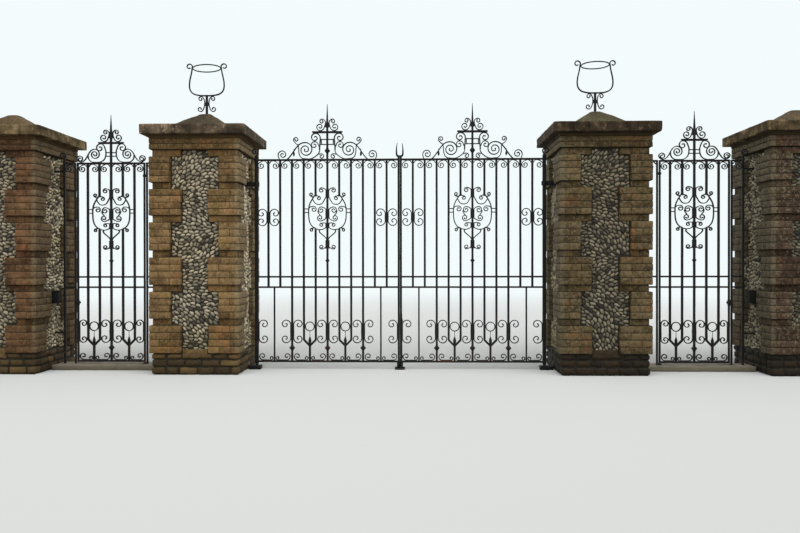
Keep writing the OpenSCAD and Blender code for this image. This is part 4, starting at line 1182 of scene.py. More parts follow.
def flint_field(rng, height):
    """Centres of flints over one face, the matrix that draws each one out, and the one that undoes it."""
    half = PIER_W / 2 - QUOIN_SHORT + 40
    low, high = -FIELD_EDGE, height + FIELD_EDGE
    x, z = np.meshgrid(np.arange(-half, half, FLINT_PITCH), np.arange(low, high, FLINT_PITCH), indexing="ij")
    p = np.stack([x, z], 2).reshape(-1, 2)
    p = p + rng.uniform(-0.45, 0.45, p.shape) * FLINT_PITCH
    seed = int(rng.integers(1000))
    lean = 80 * rough(np.column_stack([p, np.zeros(len(p))]), 300, seed) + rng.normal(0, 17, len(p))
    stretch = drawn_out(lean)
    back = np.linalg.inv(stretch)
    # Flints push each other apart until they lie evenly along their leans
    for _ in range(SETTLING):
        d = np.einsum("nij,nmj->nmi", back, p[:, None] - p[None])
        far = np.linalg.norm(d, axis=2) + 1e-6
        push = np.clip(1.12 * FLINT_PITCH - far, 0, None) / far
        np.fill_diagonal(push, 0)
        p = p + 0.16 * np.einsum("nij,nj->ni", stretch, (d * push[:, :, None]).sum(1))
        p[:, 0] = np.clip(p[:, 0], -half, half)
        p[:, 1] = np.clip(p[:, 1], low, high)
    return p, stretch, back


def panel_half(z):
    """Half the width of a flint panel at heights over the footing, on the faces across Y and across X."""
    tops = [ROW_Z[k] + quoin_h - FOOTING_H for k, quoin_h in enumerate(QUOIN_HEIGHTS)]
    even = np.searchsorted(tops, z) % 2 == 0
    blocks = np.where(even, QUOIN_LONG, QUOIN_SHORT), np.where(even, QUOIN_SHORT, QUOIN_LONG)
    return PIER_W / 2 - blocks[0], PIER_W / 2 - blocks[1]


def on_face(face, x0, across, out, up):
    """Points on one face of a pier, given across it, out from the pier's axis and up."""
    c, s = FACE_TURNS[face]
    return np.column_stack([x0 + c * across + s * out, s * across - c * out, up])


def cell_reach(p, c, u, drawn, unstretch, width, height):
    """How far a flint at c may reach in each direction, up to its neighbours and the panel's sides."""
    d = (p - c) @ unstretch.T
    dist = (d * d).sum(1)
    near = (dist > 1e-6) & (dist < NEIGHBOURS ** 2)
    dots = d[near] @ u.T
    reach = np.where(dots > 1e-6, dist[near][:, None] / (2 * np.maximum(dots, 1e-6)), 1e9).min(0)
    reach = np.minimum(reach, FLINT_REACH)
    room_x = np.where(drawn[:, 0] > 0, width - c[0], width + c[0]) / np.maximum(np.abs(drawn[:, 0]), 1e-3)
    room_z = np.where(drawn[:, 1] > 0, height - c[1], c[1]) / np.maximum(np.abs(drawn[:, 1]), 1e-3)
    reach = np.minimum(reach, np.minimum(room_x, room_z) - 1)
    soft = 0.5 * reach + 0.25 * (np.roll(reach, 1) + np.roll(reach, -1))
    return np.minimum(reach, 0.4 * reach + 0.6 * soft)


def lay_flints(work, x0, face, rng):
    """The flints of one face of a pier, bedded in mortar: a domed stone in each cell of a field."""
    sides = FLINT_SIDES
    height = QUOIN_TOP - FOOTING_H
    p, stretches, back = flint_field(rng, height)
    width = panel_half(p[:, 1])[face % 2]
    edge = np.abs(np.abs(p[:, 0]) - width - 3) < 15
    p[edge, 0] = np.sign(p[edge, 0]) * (width[edge] - 13 - 5 * rng.random(edge.sum()))
    keep = (p[:, 1] > 6) & (p[:, 1] < height - 6) & (np.abs(p[:, 0]) < width - 9)
    a = np.arange(sides) * 2 * math.pi / sides
    u = np.stack([np.cos(a), np.sin(a)], 1)
    for c, stretch, unstretch, w in zip(p[keep], stretches[keep], back[keep], width[keep]):
        drawn = u @ stretch.T
        reach = cell_reach(p, c, u, drawn, unstretch, w, height) * rng.uniform(0.92, 1.0)
        reach = np.maximum(reach - FLINT_GAP, 4)
        high = FLINT_PROUD * rng.uniform(0.75, 1.25) + 0.12 * reach.mean()
        tilt = rng.uniform(-0.12, 0.12, 2)
        rings = []
        for share, lift in ((1.0, -3.0), (0.90, 0.42), (0.58, 0.90)):
            r = reach * share * (1 + rng.uniform(-0.10, 0.10, sides) * (share < 1))
            xy = c + drawn * r[:, None]
            up = high * lift if lift > 0 else lift
            rings.append(np.column_stack([xy, up + (drawn * r[:, None]) @ tilt * (share < 1)]))
        top = c + drawn.mean(0)
        flat = np.concatenate([*rings, [(top[0], top[1], high)]])
        k = np.arange(sides)
        n = (k + 1) % sides
        quads = [np.stack([k + s, n + s, n + s + sides, k + s + sides], 1) for s in (0, sides)]
        tris = np.stack([k + 2 * sides, n + 2 * sides, np.full(sides, 3 * sides)], 1)
        verts = on_face(face, x0, flat[:, 0], PIER_W / 2 - FLINT_BED + flat[:, 2], FOOTING_H + flat[:, 1])
        work.add(verts, np.concatenate(quads), tris, rng.random(), FLINT)


def draw_core(x0, seed):
    """The flint panels, the rough footing, and the stone at the foot of the front and back panels."""
    work = Work()
    rng = np.random.default_rng(seed)
    bed = PIER_W / 2 - FLINT_BED
    block(work, (x0 - bed, -bed, FOOTING_H - 20), (x0 + bed, bed, QUOIN_TOP), 3, (8, 8, 30), 2.0, 55, seed)
    for face in range(4):
        lay_flints(work, x0, face, rng)
    half = PIER_W / 2 - FOOTING_BACK
    z = 3.2
    for high in FOOTING_COURSES:
        lay_ring(work, x0, half - 2, z, z + high, 165, FOOTING_STONE, rng, 22, 9.0, 130)
        z += high
    for s in (-1, 1):
        block(work, (x0 - 141, s * (bed - 30), 188), (x0 + 141, s * (half - 4), 284), 9, (6, 3, 3), 4.0, 50,
              seed + 5, rng.random(), PANEL_STONE)
    return work


def square_turned(work, profile, x0, seed):
    """A lumpy form that is square from above. Its profile holds half width, height and corner radius."""
    side = np.array(cuts_for(1.0, 0.03, CAP_PARTS - 1)[:-1])
    one = np.ones(len(side))
    ring = np.concatenate([np.stack([side, -one], 1), np.stack([one, side], 1),
                           np.stack([-side, one], 1), np.stack([-one, -side], 1)])
    rows = []
    heights = []
    for w, z, r in profile:
        p = ring * w
        core = np.clip(p, -(w - r), w - r)
        out = p - core
        out /= np.maximum(np.linalg.norm(out, axis=1, keepdims=True), 1e-9)
        rows.append(np.column_stack([core + out * r, np.full(len(p), z)]))
        heights.append(np.full(len(p), z))
    verts = np.concatenate(rows) + (x0, 0, 0)
    z = np.concatenate(heights)
    share = np.clip((z - WEATHER_Z) / (MOUND_Z - WEATHER_Z), 0, 1)
    lumps = LUMP * (0.7 * rough(verts, 150, seed) + 0.5 * rough(verts, 42, seed + 1)
                    + 0.35 * rough(verts, 15, seed + 2))
    chips = np.maximum(rough(verts, 60, seed + 3) - 0.35, 0) * 9 * (share < 0.1)
    centre = np.array([x0, 0, SLAB_Z - 60])
    away = verts - centre
    away /= np.linalg.norm(away, axis=1, keepdims=True)
    fade = np.clip((verts[:, 2] - CAP_Z) / 12, 0, 1) * np.clip((CAP_TOP_Z - verts[:, 2]) / 14, 0, 1)
    verts = verts + away * ((lumps * (1 + 0.8 * share) - chips - LUMP * 0.4) * fade)[:, None]
    m = len(ring)
    n = len(profile)
    j = np.arange(n - 1)[:, None] * m
    k = np.arange(m)
    quads = np.stack([j + k, j + (k + 1) % m, j + m + (k + 1) % m, j + m + k], 2).reshape(-1, 4)
    verts = np.concatenate([verts, [(x0, 0, profile[0][1]), (x0, 0, profile[-1][1])]])
    tris = [(n * m, (a + 1) % m, a) for a in k]
    tris += [(n * m + 1, (n - 1) * m + a, (n - 1) * m + (a + 1) % m) for a in k]
    work.add(verts, quads, tris, 0.5 + 0.5 * rough(verts, 120, seed + 9), np.r_[share, 0, 1])


def draw_cap(x0, seed):
    """The bed, the square slab, its weathered top and the mound."""
    low = PIER_W / 2
    wide = CAP_W / 2
    # Bed, and the under side and face of the slab
    profile = [(low, CAP_Z + 0.5, 6), (low, CAP_Z + 18, 6), (low + 2, SLAB_Z - 3, 6),
               (low + 20, SLAB_Z - 1, 6), (wide - 26, SLAB_Z, 6), (wide - 8, SLAB_Z + 0.5, 7),
               (wide - 1.5, SLAB_Z + 3, 8), (wide, SLAB_Z + 8, 9)]
    profile += [(wide, SLAB_Z + 8 + (SLAB_H - 17) * t, 9) for t in np.linspace(0.1, 1, 9)]
    profile += [(wide - 1.8, WEATHER_Z - 4, 8), (wide - 6, WEATHER_Z - 0.5, 8)]
    # Weathered top, and the mound, whose half widths and heights are shares of its own
    for t in np.linspace(0.06, 1, 15):
        w = wide - 6 + (MOUND_W / 2 - wide + 6) * t
        profile.append((w, WEATHER_Z + WEATHERING_H * t ** 0.92, 8 + 10 * t))
    mound = [(0.965, 0.05), (0.905, 0.13), (0.84, 0.22), (0.77, 0.31), (0.695, 0.41), (0.62, 0.50),
             (0.535, 0.60), (0.45, 0.69), (0.375, 0.77), (0.31, 0.85), (0.255, 0.92), (0.20, 0.97),
             (0.15, 0.99), (0.11, 1.0)]
    for w, t in mound:
        profile.append((MOUND_W / 2 * w, MOUND_Z + MOUND_H * t, 18 + 26 * min(1, t * 1.4) * w))
    work = Work()
    square_turned(work, profile, x0, seed)
    return work


def draw_sill(x0, seed):
    """The stone under a side gate, from one pier's footing to the next."""
    work = Work()
    w = SIDE_OPENING / 2 + FOOTING_BACK
    block(work, (x0 - w + 2, -150, 0.5), (x0 + w - 2, 150, SILL_H), 7, (24, 8, 2), 2.2, 80, seed)
    return work


def draw_wall_box(side):
    """The small box on the flint face of an outer pier: a case with its hood and front plate."""
    work = Work()
    face = OUTER_X - PIER_W / 2 + FLINT_DEPTH
    front = face - BOX_OUT
    y = -PIER_W / 2 + QUOIN_LONG + 4.5
    y1 = y + BOX_W
    z = BOX_Z
    z1 = BOX_Z + BOX_H
    shapes = (((front + 7, y + 3, z + 2), (face, y1 - 3, z1 - 7), 6),
              ((front, y, z1 - 16), (face - 2, y1, z1), 4),
              ((front + 2, y + 9, z + 10), (front + 10, y1 - 9, z1 - 22), 3))
    for lo, hi, edge in shapes:
        block(work, (side * lo[0], lo[1], lo[2]), (side * hi[0], hi[1], hi[2]), edge, (3, 3, 3))
    for dy in (20, 80):
        for dz in (20, 118):
            stud(work, side * (front + 2), y + dy, z + dz, 4, -side * 2.5, axis="x")
    return work


# Finishes

# Painted light on the inward face, with the lichen there, takes over from the looks of the other faces
# between these metres from a pier's axis. A pier's seed shifts the scale of its noise, so that no two are
# worn alike.
INWARD_FROM = 0.435
INWARD_TO = 0.462
IRON_FINISH = "Old black paint on wrought iron"


def scaled(colour, k, most=1.0):
    """A colour made lighter or darker, up to the most that a part of it may be."""
    return tuple(min(most, c * k) for c in colour)


class Value:
    """A number or colour that varies over a surface. The signs +, - and * add Math nodes."""

    def __init__(self, finish, socket):
        self.finish = finish
        self.socket = socket

    def math(self, operation, a, b):
        """One Math node, as a new value."""
        return self.finish.node("Math", {"operation": operation}, {0: a, 1: b})

    def __add__(self, other):
        return self.math("ADD", self, other)

    def __radd__(self, other):
        return self.math("ADD", other, self)

    def __sub__(self, other):
        return self.math("SUBTRACT", self, other)

    def __rsub__(self, other):
        return self.math("SUBTRACT", other, self)

    def __mul__(self, other):
        return self.math("MULTIPLY", self, other)

    def __rmul__(self, other):
        return self.math("MULTIPLY", other, self)


class Finish:
    """A material and the nodes that it is made of."""

    def __init__(self, name, owner=None):
        self.owner = owner or bpy.data.materials.new(name)
        self.owner.use_nodes = True
        self.tree = self.owner.node_tree
        self.tree.nodes.clear()

    def node(self, kind, settings=None, inputs=None, output=0):
        """Adds one node. Its settings are set first, and then the values or links of its sockets."""
        node = self.tree.nodes.new("ShaderNode" + kind)
        for key, value in (settings or {}).items():
            if key == "stops":
                ramp = node.color_ramp
                while len(ramp.elements) < len(value):
                    ramp.elements.new(0.5)
                for element, (at, colour) in zip(ramp.elements, value):
                    element.position = at
                    element.color = (*colour, 1)
            else:
                setattr(node, key, value)
        for key, value in (inputs or {}).items():
            if isinstance(value, Value):
                self.tree.links.new(value.socket, node.inputs[key])
            elif isinstance(value, tuple) and len(node.inputs[key].default_value) == 4:
                node.inputs[key].default_value = (*value, 1)
            else:
                node.inputs[key].default_value = value
        return Value(self, node.outputs[output]) if node.outputs else None

    def attribute(self, name):
        """The tone or kind of each vertex."""
        return self.node("Attribute", {"attribute_name": name}, output="Fac")

    def place(self):
        """Where a point of the piece is, in metres."""
        return self.node("TexCoord", output="Object")

    def noise(self, scale, detail, roughness=0.55, stretch=None):
        """Noise from 0 to 1. Scale is in lumps to the metre, and stretch draws the lumps out."""
        place = self.place()
        if stretch:
            place = self.node("Mapping", None, {"Vector": place, "Scale": stretch})
        inputs = {"Vector": place, "Scale": scale, "Detail": detail, "Roughness": roughness}
        return self.node("TexNoise", None, inputs, "Fac")

    def mix(self, a, b, share):
        """Colour a, and colour b where its share is 1."""
        return self.node("Mix", {"data_type": "RGBA"}, {0: share, 6: a, 7: b}, 2)

    def tint(self, a, b, share):
        """Colour a, multiplied by colour b where its share is 1."""
        return self.node("Mix", {"data_type": "RGBA", "blend_type": "MULTIPLY"}, {0: share, 6: a, 7: b}, 2)

    def ramp(self, value, *stops):
        """A colour for each value. Stops hold pairs of a value and its colour."""
        return self.node("ValToRGB", {"stops": stops}, {0: value}, "Color")

    def step(self, value, low, high):
        """Rises smoothly from 0 where the value is low to 1 where it is high."""
        return self.node("MapRange", {"interpolation_type": "SMOOTHSTEP"},
                         {"Value": value, "From Min": low, "From Max": high}, "Result")

    def height(self):
        """Metres over the ground."""
        return self.node("SeparateXYZ", None, {0: self.place()}, "Z")

    def inward(self, x0):
        """1 at the face of a pier that looks towards the middle of the gate, and 0 elsewhere: the mask of the
        painted light there.
        """
        x = self.node("SeparateXYZ", None, {0: self.place()}, "X")
        side = -1 if x0 > 0 else 1
        axis = side * x0 * MM
        return self.step(x * side, axis + INWARD_FROM, axis + INWARD_TO)

    def facing_up(self):
        """1 where the surface is level, 0 where it is upright and -1 where it faces down."""
        normal = self.node("NewGeometry", output="Normal")
        return self.node("SeparateXYZ", None, {0: normal}, "Z")

    def shown(self):
        """1 for rays from the camera, off gloss or through glass, and 0 for rays that carry light."""
        camera, glossy, through = (self.node("LightPath", output=f"Is {ray} Ray")
                                   for ray in ("Camera", "Glossy", "Transmission"))
        return camera + glossy + through

    def surface(self, colour, roughness, bumps, specular):
        """The shader of the material. Bumps hold pairs of a value and its height in metres."""
        normal = None
        for value, rise in bumps:
            inputs = {"Height": value, "Distance": rise, "Strength": 1.0}
            if normal:
                inputs["Normal"] = normal
            normal = self.node("Bump", None, inputs, "Normal")
        inputs = {"Base Color": colour, "Roughness": roughness, "Specular IOR Level": specular,
                  "Normal": normal}
        shader = self.node("BsdfPrincipled", None, inputs, "BSDF")
        self.node("OutputMaterial", None, {"Surface": shader})
        return self.owner


def paint_iron(settings):
    """Old black paint over wrought iron, with rust that thickens towards the ground."""
    f = Finish(IRON_FINISH)
    low = 1 - f.step(f.height(), 0.15, 1.15)
    broad = f.noise(3.1, 4)
    patchy = f.noise(17, 4, 0.62)
    grain = f.noise(120, 3, 0.6)
    pits = f.noise(380, 2)
    runs = f.noise(26, 3, 0.6, (1.0, 1.0, 0.12))
    worn = broad * 0.45 + patchy * 0.55 + grain * 0.18 + low * (settings.rust_amount * 0.20) + runs * 0.12
    rusty = f.step(worn, 0.76, 0.93)
    bloom = f.step(patchy + low * 0.12, 0.60, 0.78)
    paint = f.ramp(grain, (0.25, (0.0045, 0.0045, 0.0048)), (0.75, (0.011, 0.0105, 0.010)))
    paint = f.mix(paint, (0.024, 0.020, 0.017), bloom * 0.40)
    rust = f.ramp(grain * 0.6 + pits * 0.4, (0.30, (0.030, 0.0115, 0.0055)), (0.52, tuple(settings.rust)),
                  (0.74, (0.155, 0.066, 0.028)))
    colour = f.mix(paint, rust, rusty * 0.85)
    dust = f.step(f.facing_up(), 0.55, 0.98) * f.step(patchy, 0.38, 0.62)
    colour = f.mix(colour, (0.060, 0.054, 0.042), dust * 0.30)
    roughness = 0.50 + rusty * 0.30 + grain * 0.16 + dust * 0.10
    bumps = [(patchy, 0.0010), (grain * (0.5 + rusty), 0.0007), (pits * rusty, 0.0004)]
    return f.surface(colour, roughness, bumps, specular=0.28)


def fire_brick(name, middle, mortar, lichen, spotted, x0, seed):
    """Weathered brick in lime mortar, mottled all over, with the inward face paler in patches, partly lichen
    and partly painted light, and painted shade on the recessed courses.
    """
    f = Finish(name)
    tone = f.attribute("tone")
    kind = f.attribute("kind")
    grain = f.noise(95 + seed, 4, 0.70)
    mottle = f.noise(31 + seed, 4, 0.72)
    speck = f.noise(330, 3, 0.6)
    blotch = f.noise(9 + seed * 0.7, 4, 0.6)
    broad = f.noise(2.1 + seed * 0.05, 3, 0.5)
    shade = tone * 0.14 + blotch * 0.40 + mottle * 0.62 + grain * 0.40 + broad * 0.20 - 0.38
    body = f.ramp(shade, (0.37, scaled(middle, 0.45)), (0.49, middle), (0.63, scaled(middle, 1.75)))
    # Red and olive patches
    red = f.step(f.noise(3.4, 3, 0.6), 0.54, 0.63) * f.step(blotch, 0.40, 0.58)
    body = f.tint(body, (1.28, 0.82, 0.64), red * (0.42 + 0.4 * spotted))
    olive = f.step(f.noise(4.3, 4, 0.6), 0.52, 0.68)
    body = f.tint(body, (0.92, 1.0, 0.72), olive * 0.6)
    # Lichen, painted light on the inward face, and pits in the bricks
    pale = f.step(f.noise(26, 5, 0.74) * 0.80 + broad * 0.20, 0.54 - 0.02 * spotted, 0.60 - 0.03 * spotted)
    body = f.mix(body, lichen, pale * (0.22 + 0.6 * spotted))
    # Painted light: the inward face is made paler in patches of the lichen colour, partly lichen and partly
    # painted light
    inner = f.inward(x0)
    grown = f.step(blotch * 0.5 + mottle * 0.5, 0.42, 0.58) * 0.55 + 0.25
    body = f.mix(body, scaled(lichen, 0.8), inner * grown)
    pits = f.step(speck, 0.60, 0.72) * f.step(blotch, 0.40, 0.58)
    body = f.tint(body, (0.45, 0.43, 0.40), pits * 0.7)
    lime = f.ramp(grain * 0.6 + blotch * 0.4, (0.30, scaled(mortar, 0.55)), (0.70, mortar))
    # Painted shade: the recessed courses are darkened for the shadow that the blocks above cast on them
    body = f.tint(body, (0.80, 0.77, 0.72), f.step(kind, 1.1, 1.2))
    colour = f.mix(lime, body, f.step(kind, 0.4, 0.6))
    # Damp near the ground and under the cap, and moss on the ledges
    z = f.height()
    damp = (1 - f.step(z, 0.25, 0.85)) * 0.45 + f.step(z, 2.36, 2.62) * 0.45
    colour = f.tint(colour, (0.62, 0.56, 0.48), damp * f.step(broad * 0.5 + blotch * 0.5, 0.30, 0.62))
    moss = f.step(f.facing_up(), 0.35, 0.9) * f.step(blotch, 0.34, 0.6)
    colour = f.mix(colour, (0.052, 0.048, 0.016), moss * 0.65)
    bumps = [(mottle, 0.0042), (grain, 0.0028), (speck, 0.0009)]
    return f.surface(colour, 0.88 + grain * 0.1, bumps, specular=0.2)


def split_flint(name, middle, mortar, stone, x0, seed):
    """Flints in lime mortar, made paler on the inward face as painted light, and the stones of the footing
    and panels' feet.
    """
    f = Finish(name)
    tone = f.attribute("tone")
    kind = f.attribute("kind")
    grain = f.noise(190 + seed, 3, 0.6)
    blotch = f.noise(34 + seed, 4, 0.62)
    broad = f.noise(1.7, 3, 0.5)
    rind = f.noise(60, 5, 0.7)
    shade = tone * 0.70 + blotch * 0.26 + rind * 0.30 - 0.12
    light = scaled(middle, 1.95)
    body = f.ramp(shade, (0.10, scaled(middle, 0.30)), (0.34, middle), (0.66, light),
                  (0.95, scaled(light, 1.35, 0.8)))
    # Painted light: the flints on the inward face are made much paler, as if more brightly lit
    body = f.tint(body, (1.9, 1.9, 1.85), f.inward(x0))
    # A few flints are split and show their black inside
    knapped = f.step(tone, 0.10, 0.06) * f.step(rind, 0.42, 0.52)
    body = f.mix(body, (0.022, 0.021, 0.022), knapped * 0.8)
    # Warm stains
    warm = f.step(broad * 0.5 + blotch * 0.5, 0.42, 0.60)
    body = f.tint(body, (1.0, 0.90, 0.72), warm * 0.55)
    # Mortar and stones, chosen by kind
    lime = f.ramp(grain * 0.55 + blotch * 0.45, (0.32, scaled(mortar, 0.45)), (0.68, mortar))
    rubble = f.ramp(tone * 0.5 + f.noise(19, 5, 0.65) * 0.5 + grain * 0.2 - 0.1, (0.22, scaled(stone, 0.42)),
                    (0.50, stone), (0.80, scaled(stone, 1.9)))
    panel_stone = f.ramp(f.noise(24, 5, 0.65), (0.34, scaled(stone, 0.8)), (0.62, scaled(stone, 2.2)))
    colour = f.mix(lime, body, f.step(kind, 0.4, 0.6))
    colour = f.mix(colour, rubble, f.step(kind, 1.4, 1.6))
    colour = f.mix(colour, panel_stone, f.step(kind, 2.4, 2.6))
    # Damp near the ground, and moss on the footing's ledges
    damp = (1 - f.step(f.height(), 0.1, 0.7)) * f.step(broad, 0.34, 0.58)
    colour = f.tint(colour, (0.60, 0.60, 0.47), damp * 0.8)
    moss = f.step(f.facing_up(), 0.25, 0.85) * f.step(blotch, 0.40, 0.62)
    colour = f.mix(colour, (0.045, 0.046, 0.016), moss * 0.6)
    bumps = [(rind, 0.0022), (grain, 0.0011), (f.noise(520, 2), 0.0004)]
    return f.surface(colour, 0.62 + rind * 0.30, bumps, specular=0.35)


def weather_cap(name, middle, moss, bed, seed):
    """Weathered render, stained down its edges, with lichen on the slab, moss on the mound, and darkened
    brick on the bed under the slab as painted shade.
    """
    f = Finish(name)
    up = f.attribute("kind")
    tone = f.attribute("tone")
    grain = f.noise(160 + seed, 4, 0.65)
    blotch = f.noise(9 + seed * 0.6, 5, 0.62)
    broad = f.noise(1.9 + seed * 0.1, 3, 0.5)
    runs = f.noise(12, 4, 0.6, (1.0, 1.0, 0.16))
    shade = blotch * 0.55 + tone * 0.25 + grain * 0.2 + broad * 0.25 - 0.14
    light = scaled(middle, 2.1)
    body = f.ramp(shade, (0.36, scaled(middle, 0.36)), (0.50, middle), (0.66, light))
    body = f.tint(body, (0.42, 0.40, 0.38), f.step(runs, 0.47, 0.66) * (1 - up * 0.6) * 0.85)
    spots = f.step(f.noise(31, 5, 0.72) * 0.6 + blotch * 0.4, 0.555, 0.60)
    body = f.mix(body, scaled(light, 2.1, 0.6), spots * 0.5 * (1 - up * 0.5))
    # Moss grows on the weathered top and the mound
    tufts = f.noise(46, 5, 0.7)
    moss_colour = f.ramp(tufts * 0.7 + broad * 0.3, (0.32, scaled(moss, 0.3)), (0.50, moss),
                         (0.68, scaled(moss, 2.2)))
    grown = f.step(up * 0.52 + f.facing_up() * 0.22 + blotch * 0.50, 0.62, 0.84)
    colour = f.mix(body, moss_colour, grown * 0.92)
    # Painted shade: the bed under the slab is brick darkened for the shadow of the slab
    bed_in_painted_shade = f.ramp(grain * 0.5 + blotch * 0.5, (0.34, scaled(bed, 0.6)), (0.62, bed))
    colour = f.mix(bed_in_painted_shade, colour, f.step(f.height(), (SLAB_Z - 6) * MM, (SLAB_Z - 1) * MM))
    bumps = [(blotch, 0.004), (tufts * grown, 0.007), (grain, 0.0018), (f.noise(480, 2), 0.0005)]
    return f.surface(colour, 0.90 + grain * 0.08, bumps, specular=0.2)


def wear_stone():
    """The worn pale stone of the sills, darker down its sides."""
    f = Finish("Worn pale sill stone")
    grain = f.noise(170, 4, 0.65)
    blotch = f.noise(11, 5, 0.62)
    body = f.ramp(blotch * 0.75 + grain * 0.3, (0.34, (0.105, 0.088, 0.060)), (0.52, (0.235, 0.205, 0.150)),
                  (0.74, (0.330, 0.300, 0.235)))
    side = 1 - f.step(f.facing_up(), 0.2, 0.8)
    body = f.tint(body, (0.52, 0.50, 0.40), side * 0.6 * f.step(blotch, 0.36, 0.58))
    return f.surface(body, 0.84 + grain * 0.1, [(blotch, 0.002), (grain, 0.0012)], specular=0.3)


def mould_case():
    """The dull black of the small boxes."""
    f = Finish("Dull black case")
    grain = f.noise(700, 2)
    dust = f.step(f.facing_up(), 0.4, 0.95) * f.step(f.noise(24, 4), 0.36, 0.6)
    colour = f.mix((0.0050, 0.0050, 0.0056), (0.050, 0.046, 0.038), dust * 0.5)
    return f.surface(colour, 0.58 + dust * 0.3 + grain * 0.06, [(grain, 0.00025)], specular=0.25)


# What a user would change


def shade_of(name, text, value):
    """A colour that a user can change."""
    return bpy.props.FloatVectorProperty(name=name, description=text, default=value, size=3, min=0, max=1,
                                         subtype="COLOR")


def strength_of(name, text, value, most):
    """A strength that a user can change."""
    return bpy.props.FloatProperty(name=name, description=text, default=value, min=0, max=most,
                                   subtype="FACTOR")


class IronSettings(bpy.types.PropertyGroup):
    """The looks of the ironwork"""

    rust: shade_of("Rust", "Colour of the rust that shows through the paint", (0.082, 0.031, 0.0135))
    rust_amount: strength_of("Rust near the ground", "How much more the low bars rust", 0.5, 2)


class MasonrySettings(bpy.types.PropertyGroup):
    """The middle tones of the piers, and their pattern of wear"""

    left_brick: shade_of("Left brick", "Bricks of the left inner pier", (0.202, 0.125, 0.054))
    right_brick: shade_of("Right brick", "Bricks of the right inner pier", (0.118, 0.082, 0.039))
    left_outer_brick: shade_of("Left outer brick", "Bricks of the left outer pier", (0.134, 0.070, 0.034))
    right_outer_brick: shade_of("Right outer brick", "Bricks of the right outer pier", (0.073, 0.045, 0.029))
    left_mortar: shade_of("Left mortar", "Lime mortar of the left piers", (0.100, 0.076, 0.044))
    right_mortar: shade_of("Right mortar", "Lime mortar of the right piers", (0.072, 0.056, 0.034))
    left_flint: shade_of("Left flint", "Flints of the left piers", (0.245, 0.215, 0.157))
    right_flint: shade_of("Right flint", "Flints of the right piers", (0.130, 0.115, 0.081))
    left_footing: shade_of("Left footing", "Stones at the foot of the left piers", (0.125, 0.076, 0.028))
    # Painted shade: the right footing's colour is darkened to stand in for the deep shade at the foot of the
    # right piers
    right_footing_in_shade: shade_of("Right footing", "Stones at the foot of the right piers", (0.022, 0.012, 0.0035))
    left_cap: shade_of("Left cap", "Cap of the left inner pier", (0.124, 0.090, 0.057))
    right_cap: shade_of("Right cap", "Cap of the right inner pier", (0.055, 0.038, 0.0225))
    outer_cap: shade_of("Outer caps", "Caps of the outer piers", (0.150, 0.106, 0.052))
    seed: bpy.props.IntProperty(name="Pattern", description="Changes how bricks and flints are worn",
                                default=11, min=0)


class StageSettings(bpy.types.PropertyGroup):
    """The floor, the backdrop and the light"""

    floor: shade_of("Floor", "Colour of the floor", (0.56, 0.56, 0.545))
    ground: shade_of("Ground", "Colour that the floor has for the light on the gate", (0.22, 0.20, 0.16))
    sky: shade_of("Sky", "Colour of the backdrop", (0.90, 0.97, 0.98))
    sky_light: strength_of("Sky light", "Strength of the soft light from all round", 1.12, 3)
    sun_light: strength_of("Sun light", "Strength of the soft sun", 1.0, 5)
    floor_size: bpy.props.FloatProperty(name="Floor size", description="Width of the floor", default=120,
                                        min=20, subtype="DISTANCE", unit="LENGTH")


# Building


# The outer piers have darker flints and footings, and the right one a darker cap
OUTER_DIM = 0.82
RIGHT_OUTER_CAP_DIM = 0.72

MOSS = {
    "left_outer": (0.105, 0.068, 0.030),
    "left_inner": (0.075, 0.055, 0.030),
    "right_inner": (0.066, 0.058, 0.028),
    "right_outer": (0.080, 0.056, 0.028),
}

# Lean of each cradle's hoop, in degrees
HOOP_LEAN = {"left": -3.8, "right": 0.4}

# The sun, with its spread and turn in degrees, and the light of the sky
SUN_SPREAD = 60
SUN_TURN = (26, 0, 16)
SUN_COLOUR = (1.0, 0.965, 0.90)
SKY_COLOUR = (0.93, 0.97, 1.0)

# The floor turns into the backdrop between these distances, in metres
FLOOR_FADE = (7.0, 24.0)

# The camera, in millimetres of lens, metres and degrees
LENS = 32.62
CAMERA_PLACE = (0.2174, -8.3751, 1.2293)
CAMERA_TURN = (89.718, 0.068, 1.472)


def iron_finish():
    """The ironwork's one material, made when it is first asked for."""
    return bpy.data.materials.get(IRON_FINISH) or paint_iron(bpy.context.scene.gate_iron)


def forge_copy(local, node, body, scale_x, move_x):
    """Makes a piece of iron from a copy of local work, mirrored where scale_x is -1 and moved along X."""
    work = Work()
    work.take(local, scale_x, move_x)
    work.piece(node, body, iron_finish(), "iron")


def linked(context, name, data):
    """Puts a new object into the scene."""
    made = bpy.data.objects.new(name, data)
    context.scene.collection.objects.link(made)
    return made


def lay_floor(context, stage):
    """The floor: matt where it is near, and as bright as the backdrop where it is far."""
    half = stage.floor_size / 2
    mesh = bpy.data.meshes.new("floor")
    corners = [(-half, -half, 0), (half, -half, 0), (half, half, 0), (-half, half, 0)]
    mesh.from_pydata(corners, [], [(0, 1, 2, 3)])
    floor = linked(context, "floor", mesh)
    f = Finish("Pale floor")
    away = f.node("VectorMath", {"operation": "LENGTH"}, {0: f.place()}, "Value")
    camera = f.node("LightPath", output="Is Camera Ray")
    colour = f.mix(tuple(stage.ground), tuple(stage.floor), f.shown())
    matt = f.node("BsdfDiffuse", None, {"Color": colour, "Roughness": 1.0})
    glow = f.node("Emission", None, {"Color": tuple(stage.sky), "Strength": 1.0})
    shader = f.node("MixShader", None, {0: camera * f.step(away, *FLOOR_FADE), 1: matt, 2: glow})
    f.node("OutputMaterial", None, {"Surface": shader})
    mesh.materials.append(f.owner)


